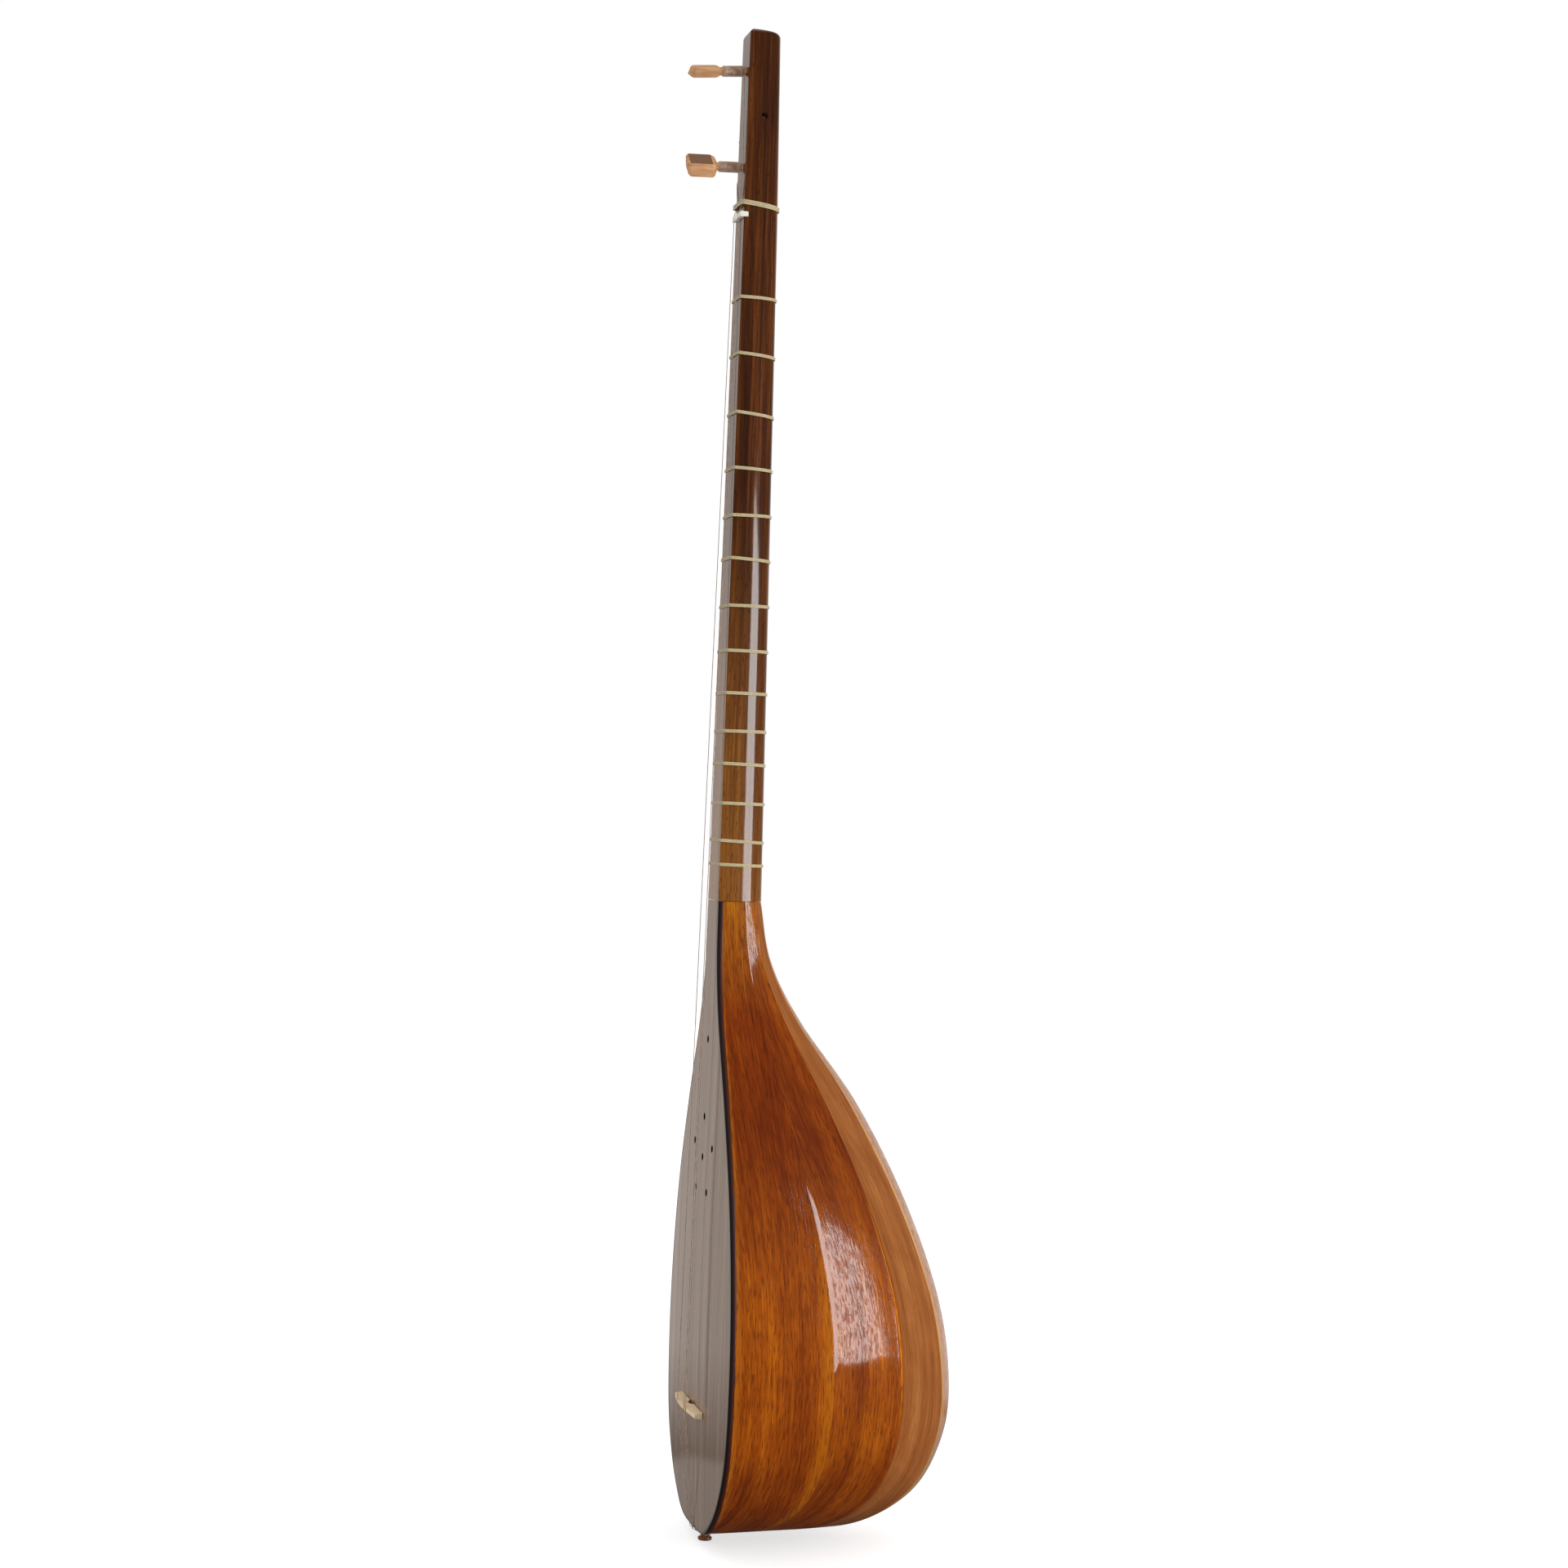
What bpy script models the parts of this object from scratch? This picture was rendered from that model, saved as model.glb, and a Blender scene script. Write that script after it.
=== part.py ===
# Long-necked lute with a bowl of eight staves, three pegs and tied frets.
# Metres, +Z up along the neck, soundboard facing -Y, +X to the viewer's right.
# The origin is the middle of the tail pin's end, which is the lowest point.

from math import asin, copysign, cos, hypot, pi, radians, sin

import bmesh
import bpy
from mathutils import Matrix, Vector

# Clearance between pieces that touch
GAP = 0.0003

# Heights above the tail pin's end
TOTAL_LENGTH = 0.900
JOINT_Z = 0.3805
NUT_Z = 0.7885
BRIDGE_Z = 0.080
BOWL_BOTTOM = 0.008

# Bowl, soundboard and edge strip
BOWL_WIDTH = 0.163
BOWL_DEPTH = 0.157
RIB_THICKNESS = 0.0032
RIB_FLATNESS = 0.5
BOARD_THICKNESS = 0.003
BOARD_CROWN = 0.0025
BOARD_DROP = 0.002
BINDING_WIDTH = 0.0016

# Outline of the board and profile of the back, each as (share of the bowl's
# length, share of the half width or of the depth), from the tail to the neck
RIM_SHAPE = ((0.0, 0.0), (0.005, 0.32), (0.027, 0.53), (0.075, 0.765), (0.153, 0.945), (0.274, 1.0),
             (0.408, 0.957), (0.542, 0.82), (0.676, 0.583), (0.811, 0.30), (0.905, 0.188))
BACK_SHAPE = ((0.0, 0.0), (0.003, 0.32), (0.006, 0.64), (0.051, 0.853), (0.123, 0.962), (0.215, 1.0),
              (0.354, 0.952), (0.515, 0.806), (0.676, 0.596), (0.811, 0.354), (0.905, 0.233))

# Creases between the staves, in degrees from the rim round to the back
CREASES_BOWL = (24.0, 45.0, 65.0)
CREASES_NECK = (34.0, 54.0, 72.0)
CREASES_PIN = (-18.0, 18.0, 54.0)
RIB_COLUMNS = 4
ROWS_PER_STEP = 3

# Neck and head
NECK_WIDTH_JOINT = 0.0279
NECK_WIDTH_NUT = 0.0214
NECK_WIDTH_TOP = 0.0190
NECK_DEPTH_JOINT = 0.0291
NECK_DEPTH_NUT = 0.0229
NECK_DEPTH_TOP = 0.0204
NECK_SQUARENESS = 0.92
NECK_EDGE = 0.0005
HEAD_TOP_RADIUS = 0.0035
TENON_WIDTH = 0.008
TENON_DEPTH = 0.012
TENON_LENGTH = 0.020
NECK_BLOCK_LENGTH = 0.034
NECK_BLOCK_CLEARANCE = 0.0009

# Tail pin and its block
PIN_SETBACK = 0.010
PIN_COLLAR_R = 0.0042
PIN_COLLAR_HEIGHT = 0.0018
PIN_COLLAR_BEVEL = 0.0007
PIN_FLANGE_R = 0.0039
PIN_FLANGE_HEIGHT = 0.0008
PIN_GROOVE_R = 0.0026
PIN_GROOVE_FLARE = 0.0006
PIN_SHANK_R = 0.0023
PIN_SHANK_LENGTH = 0.020
PIN_SHANK_BEVEL = 0.0004
TAIL_BLOCK_WIDTH = 0.040
TAIL_BLOCK_DEPTH = 0.036
TAIL_BLOCK_HEIGHT = 0.028
TAIL_BLOCK_CLEARANCE = 0.0012

# Sound holes
HOLE_RADIUS = 0.0022
HOLE_RING_Z = 0.2275
HOLE_RING_R = 0.024
HOLE_UPPER_RISE = 0.070

# Bridge and nut
BRIDGE_LENGTH = 0.054
BRIDGE_HEIGHT = 0.007
BRIDGE_END_HEIGHT = 0.0045
BRIDGE_FOOT = 0.0040
BRIDGE_TOP = 0.0018
BRIDGE_ARCH_WIDTH = 0.012
BRIDGE_ARCH_HEIGHT = 0.0022
BRIDGE_SKEW = 2.0
NUT_HEIGHT = 0.0022
NUT_THICKNESS = 0.0034
NUT_SLOT_DEPTH = 0.003
NUT_INSET = 0.0002
NUT_NOTCH_WIDTH = 0.0016
BRIDGE_NOTCH_WIDTH = 0.0024
NOTCH_DEPTH = 0.0011
STRING_SINK = 0.00015

# Tied frets, in semitones above the open string, and the slant of each in degrees
FRET_SEMITONES = (1.25, 2.15, 3.15, 4.15, 5.05, 5.9, 6.9, 7.9, 8.9, 9.85, 10.7, 11.8, 12.9, 13.65)
FRET_SLANTS = (-1.0, 2.3, 3.5, 0.6, -1.7, 1.6, -1.1, -0.5, -0.5, -0.7, 0.8, 0.2, 2.1, 1.0)
FRET_WIDTH = 0.0019
FRET_THICKNESS = 0.0009
FRET_KNOT = 0.0016
TIE_RISE = 0.007
TIE_WIDTH = 0.003
TIE_THICKNESS = 0.0014
TIE_SLANT = 4.0

# Pegs: where each axis meets the neck, and how far its head leans to the body
PEG_UPPER_Z = 0.8758
PEG_LOWER_Z = 0.8180
PEG_SIDE_Z = 0.8473
PEG_UPPER_LEAN = 5.9
PEG_LOWER_LEAN = 2.5
PEG_SIDE_LEAN = 6.0
PEG_SHAFT_R = 0.0025
PEG_TIP_R = 0.0020
PEG_NECK_LENGTH = 0.0155
PEG_HEAD_LENGTH = 0.0172
PEG_HEAD_WIDTH = 0.0140
PEG_HEAD_THICKNESS = 0.0078
PEG_HEAD_SLANT = 0.0020
PEG_HEAD_POWER = 1.6
PEG_HEAD_BEVEL = 0.0016
PEG_SHOULDER = 0.0020
PEG_TIP_RECESS = 0.0070
PEG_TIP_BEVEL = 0.0004

# Strings
STRING_R = 0.0002
WINDING_R = 0.00025
WINDING_LOOPS = 6
WINDING_PITCH = 0.0012
WINDING_START = 0.0016
WINDING_POINTS = 24
STRING_LOOP_ANGLE = 230.0
STRING_END_CLEARANCE = 0.0022

# Where each string crosses the nut, the bridge and the board's lower edge, to the
# right of the middle, and the height of its loop on the pin
STRING_AT_NUT = {"side": -0.0065, "lower": 0.0036, "upper": 0.0066}
STRING_AT_BRIDGE = {"side": -0.0120, "lower": 0.0080, "upper": 0.0115}
STRING_AT_EDGE = {"side": -0.0034, "lower": 0.0024, "upper": 0.0042}
STRING_LOOP_Z = {"side": 0.0042, "lower": 0.0030, "upper": 0.0054}

# Heights and planes that follow from the sizes above
FACE_Y = -PIN_SETBACK
BOWL_TOP = JOINT_Z - GAP
RIM_EDGE = BOARD_THICKNESS + GAP
PIN_HOLE_R = PIN_SHANK_R + GAP
SCALE_LENGTH = NUT_Z - BRIDGE_Z

# Share of a stave or of a step along the bowl over which a direction is taken
SHORT_STEP = 0.02


def clear_scene():
    for old in list(bpy.data.objects):
        bpy.data.objects.remove(old, do_unlink=True)


def new_collection(name):
    made = bpy.data.collections.new(name)
    bpy.context.scene.collection.children.link(made)
    return made


clear_scene()
parts = new_collection("tanbur")
cutters = new_collection("cutters")


def material(name, hex_colour, roughness, metallic=0.0):
    """A plain surface in the colour, roughness and metallic value of the real one."""
    made = bpy.data.materials.new(name)
    made.use_nodes = True
    shader = made.node_tree.nodes["Principled BSDF"]
    channels = [int(hex_colour[i:i + 2], 16) / 255 for i in (1, 3, 5)]
    linear = [c / 12.92 if c < 0.04045 else ((c + 0.055) / 1.055) ** 2.4 for c in channels]
    shader.inputs["Base Color"].default_value = (*linear, 1.0)
    shader.inputs["Roughness"].default_value = roughness
    shader.inputs["Metallic"].default_value = metallic
    return made


def add_mesh(name, mesh, surface, group):
    made = bpy.data.objects.new(name, mesh)
    mesh.materials.clear()
    mesh.materials.append(surface)
    group.objects.link(made)
    return made


def from_bmesh(name, bm, surface, group, smooth_angle=30.0):
    """Turns a bmesh into a named object, shaded smooth except at its edges."""
    bmesh.ops.recalc_face_normals(bm, faces=bm.faces)
    mesh = bpy.data.meshes.new(name)
    bm.to_mesh(mesh)
    bm.free()
    mesh.shade_smooth()
    mesh.set_sharp_from_angle(angle=radians(smooth_angle))
    return add_mesh(name, mesh, surface, group)


def loft(name, rings, surface, group, strip_ends=False, closed=False):
    """A closed body through rings of equal point count.

    Ends are flat faces, or strips that join the two halves of the ring where
    the end is a curved band. A closed loft runs back to its first ring.
    """
    bm = bmesh.new()
    rows = [[bm.verts.new(point) for point in ring] for ring in rings]
    count = len(rings[0])
    pairs = list(zip(rows, rows[1:]))
    if closed:
        pairs.append((rows[-1], rows[0]))
    for lower, upper in pairs:
        for i in range(count):
            j = (i + 1) % count
            bm.faces.new((lower[i], lower[j], upper[j], upper[i]))
    if not closed:
        for row in (rows[0], rows[-1]):
            if not strip_ends:
                bm.faces.new(row)
                continue
            for i in range(count // 2 - 1):
                bm.faces.new((row[i], row[i + 1], row[count - 2 - i], row[count - 1 - i]))
    return from_bmesh(name, bm, surface, group)


def box(name, low, high, surface, group):
    bm = bmesh.new()
    size = Vector(high) - Vector(low)
    middle = (Vector(high) + Vector(low)) / 2
    place = Matrix.Translation(middle) @ Matrix.Diagonal((*size, 1.0))
    bmesh.ops.create_cube(bm, size=1.0, matrix=place)
    return from_bmesh(name, bm, surface, group)


def rod(name, start, end, r_start, r_end, segments, surface, group):
    """A straight round bar or taper between two points."""
    start = Vector(start)
    span = Vector(end) - start
    turn = span.to_track_quat("Z", "Y").to_matrix().to_4x4()
    bm = bmesh.new()
    bmesh.ops.create_cone(bm, cap_ends=True, segments=segments, radius1=r_start, radius2=r_end,
                          depth=span.length, matrix=Matrix.Translation(start + span / 2) @ turn)
    return from_bmesh(name, bm, surface, group)


def boolean(target, tool, operation="DIFFERENCE"):
    tool.hide_render = True
    tool.display_type = "WIRE"
    modifier = target.modifiers.new("cut by " + tool.name, "BOOLEAN")
    modifier.operation = operation
    modifier.object = tool
    modifier.solver = "EXACT"


def tube(name, points, radius, resolution, surface, group):
    """A wire along a route, with filled ends."""
    curve = bpy.data.curves.new(name, "CURVE")
    curve.dimensions = "3D"
    curve.bevel_depth = radius
    curve.bevel_resolution = resolution
    curve.use_fill_caps = True
    spline = curve.splines.new("POLY")
    spline.points.add(len(points) - 1)
    for slot, point in zip(spline.points, points):
        slot.co = (*point, 1.0)
    curve.materials.append(surface)
    made = bpy.data.objects.new(name, curve)
    group.objects.link(made)
    return made


def mix(a, b, share):
    return a + (b - a) * share


def smooth_step(x):
    x = max(0.0, min(1.0, x))
    return x * x * (3.0 - 2.0 * x)


def catmull(points, step):
    """A point of the smooth curve through the given points, at a fractional step."""
    last = len(points) - 1
    i = max(0, min(last - 1, int(step)))
    t = step - i
    p1 = points[i]
    p2 = points[i + 1]
    p0 = points[i - 1] if i > 0 else p1 * 2 - p2
    p3 = points[i + 2] if i + 2 <= last else p2 * 2 - p1
    return (p1 * 2 + (p2 - p0) * t + (p0 * 2 - p1 * 5 + p2 * 4 - p3) * t * t
            + (p1 * 3 - p0 - p2 * 3 + p3) * t * t * t) / 2


# The shape of the bowl

def bowl_z(share):
    return mix(BOWL_BOTTOM, BOWL_TOP, share)


RIM = [Vector((bowl_z(z), w * BOWL_WIDTH / 2)) for z, w in RIM_SHAPE]
RIM.append(Vector((BOWL_TOP, NECK_WIDTH_JOINT / 2)))
BACK = [Vector((bowl_z(z), d * BOWL_DEPTH)) for z, d in BACK_SHAPE]
BACK.append(Vector((BOWL_TOP, NECK_DEPTH_JOINT)))
STEPS = len(RIM) - 1


def rim_y(z):
    """The board's edge lies in the fingerboard's plane at the neck and falls back to the tail."""
    return FACE_Y + BOARD_DROP * (1.0 - z / JOINT_Z)


def neck_blend(step):
    """0 over the bowl, rising to 1 where the bowl meets the neck."""
    return smooth_step((RIM[step][0] / JOINT_Z - 0.65) / 0.35)


def crease_angle(step, crease):
    blend = neck_blend(step)
    power = mix(1.0, NECK_SQUARENESS, blend)
    if crease == 0:
        return asin((RIM_EDGE / BACK[step][1]) ** (1.0 / power))
    if crease == 4:
        return pi / 2
    return radians(mix(CREASES_BOWL[crease - 1], CREASES_NECK[crease - 1], blend))


def bowl_section(step, angle):
    """A point of the half-oval that the bowl has at one of its driving sections."""
    power = mix(1.0, NECK_SQUARENESS, neck_blend(step))
    rim_z, half_width = RIM[step]
    back_z, depth = BACK[step]
    across = half_width * max(0.0, cos(angle)) ** power
    behind = depth * sin(angle) ** power
    return Vector((across, rim_y(rim_z) + behind, mix(rim_z, back_z, sin(angle) ** 2)))


def pin_section(rib, share):
    """The staves' lower ends: a ring round the tail pin, and the seam in front of it."""
    seam = 0.4    # share of the front stave's end that lies on the seam
    front = rim_y(BOWL_BOTTOM) + RIM_EDGE
    if rib == 0 and share < seam:
        return Vector((0.0, mix(front, -PIN_HOLE_R, share / seam), BOWL_BOTTOM))
    if rib == 0:
        angle = radians(mix(-90.0, CREASES_PIN[0], (share - seam) / (1.0 - seam)))
    else:
        edges = CREASES_PIN + (90.0,)
        angle = radians(mix(edges[rib - 1], edges[rib], share))
    return Vector((PIN_HOLE_R * max(0.0, cos(angle)), PIN_HOLE_R * sin(angle), BOWL_BOTTOM))


def bowl_point(rib, share, step):
    """A point of the bowl's outer skin, before the stave is flattened."""
    column = [pin_section(rib, share)]
    for k in range(1, STEPS + 1):
        angle = mix(crease_angle(k, rib), crease_angle(k, rib + 1), share)
        column.append(bowl_section(k, angle))
    return catmull(column, step)


def bowl_normal(rib, share, step):
    """The outward direction of the skin there."""
    if step < 0.001:
        return Vector((0.0, 0.0, -1.0))
    low = max(0.0, step - SHORT_STEP)
    high = min(float(STEPS), step + SHORT_STEP)
    along = bowl_point(rib, share, high) - bowl_point(rib, share, low)
    left = max(0.0, share - SHORT_STEP)
    right = min(1.0, share + SHORT_STEP)
    across = bowl_point(rib, right, step) - bowl_point(rib, left, step)
    normal = along.cross(across).normalized() * -1.0
    if rib == 0 and share == 0.0:
        normal = Vector((normal.x, 0.0, normal.z)).normalized()
    if rib == 3 and share == 1.0:
        normal = Vector((0.0, normal.y, normal.z)).normalized()
    if step > STEPS - 0.001:
        normal = Vector((normal.x, normal.y, 0.0)).normalized()
    return normal


def mitre_normal(rib, share, step):
    """The direction of a stave's thickness, shared with its neighbour where the two meet."""
    normal = bowl_normal(rib, share, step)
    if share == 0.0 and rib > 0:
        normal = (normal + bowl_normal(rib - 1, 1.0, step)).normalized()
    if share == 1.0 and rib < 3:
        normal = (normal + bowl_normal(rib + 1, 0.0, step)).normalized()
    return normal


def rib_ring(rib, step, side):
    """One cross-section of a stave: its outer points, then its inner points back again."""
    shares = [j / RIB_COLUMNS for j in range(RIB_COLUMNS + 1)]
    skin = [bowl_point(rib, share, step) for share in shares]
    normals = [mitre_normal(rib, share, step) for share in shares]
    flatness = RIB_FLATNESS * min(1.0, step)
    chord = [mix(skin[0], skin[-1], share) for share in shares]
    outer = [mix(point, flat, flatness) for point, flat in zip(skin, chord)]
    outer[0] = skin[0]
    inner = [point - normal * RIB_THICKNESS for point, normal in zip(outer, normals)]
    for edge, inward in ((0, 1), (-1, -1)):
        if (rib == 0 and edge == 0) or (rib == 3 and edge == -1):
            continue
        low = bowl_point(rib, shares[edge], max(0.0, step - SHORT_STEP))
        high = bowl_point(rib, shares[edge], min(float(STEPS), step + SHORT_STEP))
        away = (high - low).cross(normals[edge]).normalized() * inward
        outer[edge] = outer[edge] + away * GAP / 2
        inner[edge] = inner[edge] + away * GAP / 2
    ring = outer + inner[::-1]
    return [(side * max(point.x, GAP / 2), point.y, point.z) for point in ring]


def make_ribs(surfaces):
    rows = STEPS * ROWS_PER_STEP
    for side, word in ((1, "right"), (-1, "left")):
        for rib in range(4):
            rings = [rib_ring(rib, row / ROWS_PER_STEP, side) for row in range(rows + 1)]
            loft("rib_%s_%d" % (word, rib + 1), rings, surfaces[rib], parts, strip_ends=True)


# The soundboard and the strip round it

def rim_point(step, inset):
    """The board's outline on the right, moved in by an inset, as across and height."""
    point = catmull(RIM, step)
    ahead = catmull(RIM, min(float(STEPS), step + SHORT_STEP)) - catmull(RIM, max(0.0, step - SHORT_STEP))
    if step < 0.001:
        return 0.0, point[0] + inset
    length = hypot(ahead[0], ahead[1])
    across = point[1] - inset * ahead[0] / length
    height = point[0] + inset * ahead[1] / length
    if step > STEPS - 0.001:
        return point[1] - inset, point[0]
    return max(0.0, across), min(height, BOWL_TOP)


def crown(z, across, half_width):
    """How far the board's middle stands in front of its edge."""
    swell = (2.0 * half_width / BOWL_WIDTH) ** 2
    return BOARD_CROWN * swell * (1.0 - (across / half_width) ** 2)


def board_half_width(z):
    """The board's half width at a height, found along its outline."""
    best = (1.0, 0.0)
    for i in range(60, STEPS * 60 + 1):
        across, height = rim_point(i / 60, BINDING_WIDTH + GAP)
        best = min(best, (abs(height - z), across))
    return best[1]


def board_y(x, z):
    """The board's front surface."""
    half_width = board_half_width(z)
    return rim_y(z) - crown(z, x, half_width)


def make_binding(surface):
    rows = STEPS * ROWS_PER_STEP
    steps = [row / ROWS_PER_STEP for row in range(rows, -1, -1)]
    path = [(1, step) for step in steps] + [(-1, step) for step in steps[-2::-1]]
    rings = []
    for side, step in path:
        outer_x, outer_z = rim_point(step, 0.0)
        inner_x, inner_z = rim_point(step, BINDING_WIDTH)
        front = rim_y(outer_z)
        behind = front + BOARD_THICKNESS
        rings.append([(side * outer_x, front, outer_z), (side * outer_x, behind, outer_z),
                      (side * inner_x, behind, inner_z), (side * inner_x, front, inner_z)])
    loft("edge_binding", rings, surface, parts)


def make_soundboard(surface):
    columns = 10
    rows = STEPS * ROWS_PER_STEP
    lowest = 0.15    # the first step where the board is wide enough inside its strip
    steps = [lowest] + [row / ROWS_PER_STEP for row in range(1, rows + 1)]
    rings = []
    for step in steps:
        half_width, z = rim_point(step, BINDING_WIDTH + GAP)
        xs = [half_width * (2 * i / columns - 1) for i in range(columns + 1)]
        front = [(x, rim_y(z) - crown(z, x, half_width), z) for x in xs]
        behind = [(x, y + BOARD_THICKNESS, z) for x, y, z in front]
        rings.append(front + behind[::-1])
    board = loft("soundboard", rings, surface, parts, strip_ends=True)
    centres = [(0.0, HOLE_RING_Z), (0.0, HOLE_RING_Z + HOLE_UPPER_RISE)]
    centres += [(HOLE_RING_R * sin(2 * pi * i / 5), HOLE_RING_Z + HOLE_RING_R * cos(2 * pi * i / 5))
                for i in range(5)]
    reach = BOARD_THICKNESS + BOARD_CROWN + 0.004
    for i, (x, z) in enumerate(centres):
        start = (x, FACE_Y - reach, z)
        end = (x, FACE_Y + reach, z)
        drill = rod("sound_hole_%d" % (i + 1), start, end, HOLE_RADIUS, HOLE_RADIUS, 14, surface, cutters)
        boolean(board, drill)


# The neck, its head and the two inner blocks

def along_neck(z, at_joint, at_nut, at_top):
    if z < NUT_Z:
        return mix(at_joint, at_nut, (z - JOINT_Z) / (NUT_Z - JOINT_Z))
    return mix(at_nut, at_top, (z - NUT_Z) / (TOTAL_LENGTH - NUT_Z))


def neck_half_width(z):
    return along_neck(z, NECK_WIDTH_JOINT, NECK_WIDTH_NUT, NECK_WIDTH_TOP) / 2


def neck_depth(z):
    return along_neck(z, NECK_DEPTH_JOINT, NECK_DEPTH_NUT, NECK_DEPTH_TOP)


def oval_section(half_width, depth, segments, front=NECK_EDGE):
    """The neck's D outline as (across, behind), from the right edge of the face round to the left."""
    points = []
    for i in range(segments + 1):
        angle = pi * i / segments
        c = cos(angle)
        across = copysign(abs(c) ** NECK_SQUARENESS, c) * half_width
        points.append((across, front + (depth - front) * max(0.0, sin(angle)) ** NECK_SQUARENESS))
    return points


def neck_ring(z, inset=0.0):
    half_width = neck_half_width(z) - inset
    curve = oval_section(half_width, neck_depth(z) - inset, 18, inset + NECK_EDGE)
    corners = [(-half_width + NECK_EDGE, inset), (half_width - NECK_EDGE, inset)]
    return [(x, FACE_Y + y, z) for x, y in curve + corners]


def make_neck(surface):
    rings = [neck_ring(JOINT_Z), neck_ring(NUT_Z)]
    start = TOTAL_LENGTH - HEAD_TOP_RADIUS
    for i in range(5):
        angle = pi / 2 * i / 4
        inset = HEAD_TOP_RADIUS * (1.0 - cos(angle))
        rings.append([(x, y, start + HEAD_TOP_RADIUS * sin(angle)) for x, y, z in neck_ring(start, inset)])
    neck = loft("neck", rings, surface, parts)
    middle = FACE_Y + NECK_DEPTH_JOINT / 2
    low = (-TENON_WIDTH / 2, middle - TENON_DEPTH / 2, JOINT_Z - TENON_LENGTH)
    high = (TENON_WIDTH / 2, middle + TENON_DEPTH / 2, JOINT_Z + TENON_LENGTH)
    boolean(neck, box("neck_tenon", low, high, surface, cutters), "UNION")
    across = neck_half_width(NUT_Z) + NUT_SLOT_DEPTH
    half = NUT_THICKNESS / 2 + GAP
    low = (-across, FACE_Y - NUT_SLOT_DEPTH, NUT_Z - half)
    high = (across, FACE_Y + NUT_SLOT_DEPTH, NUT_Z + half)
    boolean(neck, box("nut_slot", low, high, surface, cutters))
    return neck


def make_neck_block(surface):
    seat = RIB_THICKNESS + NECK_BLOCK_CLEARANCE
    rings = []
    for i in range(4):
        z = BOWL_TOP - NECK_BLOCK_LENGTH * (1.0 - i / 3)
        step = STEPS
        while step > 1 and catmull(RIM, step)[0] > z + 1e-6:
            step -= 0.01
        half_width = catmull(RIM, step)[1] - seat
        depth = catmull(BACK, step)[1] - seat
        curve = oval_section(half_width, depth, 14, RIM_EDGE)
        rings.append([(x, rim_y(z) + y, z) for x, y in curve])
    block = loft("neck_block", rings, surface, parts)
    middle = FACE_Y + NECK_DEPTH_JOINT / 2
    low = (-TENON_WIDTH / 2 - GAP, middle - TENON_DEPTH / 2 - GAP, JOINT_Z - TENON_LENGTH - GAP)
    high = (TENON_WIDTH / 2 + GAP, middle + TENON_DEPTH / 2 + GAP, JOINT_Z + TENON_LENGTH)
    boolean(block, box("neck_mortise", low, high, surface, cutters))


def make_tail_block(surface):
    """A block whose underside follows the bowl's floor, bored for the pin."""
    half = TAIL_BLOCK_WIDTH / 2
    floor = RIB_THICKNESS + TAIL_BLOCK_CLEARANCE
    top = BOWL_BOTTOM + floor + TAIL_BLOCK_HEIGHT
    outline = [(-half, top), (half, top)]
    for i in range(7):
        x = half * (1.0 - i / 3)
        step = 0.0
        while catmull(RIM, step)[1] < abs(x) and step < 3:
            step += 0.01
        outline.append((x, catmull(RIM, step)[0] + floor))
    front = rim_y(BOWL_BOTTOM) + RIM_EDGE + GAP
    rings = [[(x, y, z) for x, z in outline] for y in (front, front + TAIL_BLOCK_DEPTH)]
    block = loft("tail_block", rings, surface, parts)
    reach = BOWL_BOTTOM + PIN_SHANK_LENGTH + GAP
    boolean(block, rod("pin_bore", (0, 0, 0), (0, 0, reach), PIN_HOLE_R, PIN_HOLE_R, 16, surface, cutters))


def make_tail_pin(surface):
    """Turned pin: a flat end, a collar, a groove for the string loops and a shank."""
    flange = BOWL_BOTTOM - GAP
    flange_low = flange - PIN_FLANGE_HEIGHT
    end = flange + PIN_SHANK_LENGTH
    profile = [(0.0, end), (PIN_SHANK_R - PIN_SHANK_BEVEL, end),
               (PIN_SHANK_R, end - 2 * PIN_SHANK_BEVEL), (PIN_SHANK_R, flange),
               (PIN_FLANGE_R, flange), (PIN_FLANGE_R, flange_low),
               (PIN_GROOVE_R, flange_low - PIN_GROOVE_FLARE),
               (PIN_GROOVE_R, PIN_COLLAR_HEIGHT + PIN_GROOVE_FLARE),
               (PIN_COLLAR_R, PIN_COLLAR_HEIGHT), (PIN_COLLAR_R, PIN_COLLAR_BEVEL),
               (PIN_COLLAR_R - PIN_COLLAR_BEVEL, 0.0), (0.0, 0.0)]
    mesh = bpy.data.meshes.new("tail_pin")
    mesh.from_pydata([(x, 0.0, z) for x, z in profile], [(i, i + 1) for i in range(len(profile) - 1)], [])
    pin = add_mesh("tail_pin", mesh, surface, parts)
    screw = pin.modifiers.new("turned", "SCREW")
    screw.steps = 20
    screw.render_steps = 20
    screw.use_merge_vertices = True
    screw.merge_threshold = 0.00001


# The bridge, the nut, the cord above it and the frets

def notched_top(places, notch_width, half, height_at):
    """The upper edge of a bar from right to left, with a notch under each string."""
    points = [(half, height_at(half))]
    for x in sorted(places, reverse=True):
        floor = height_at(x) - NOTCH_DEPTH
        right = x + notch_width / 2
        left = x - notch_width / 2
        points += [(right, height_at(right)), (x + notch_width / 4, floor),
                   (x - notch_width / 4, floor), (left, height_at(left))]
    return points + [(-half, height_at(-half))]


def bridge_height(x):
    """The bridge is tallest in its middle."""
    return mix(BRIDGE_HEIGHT, BRIDGE_END_HEIGHT, (2.0 * x / BRIDGE_LENGTH) ** 2)


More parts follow.
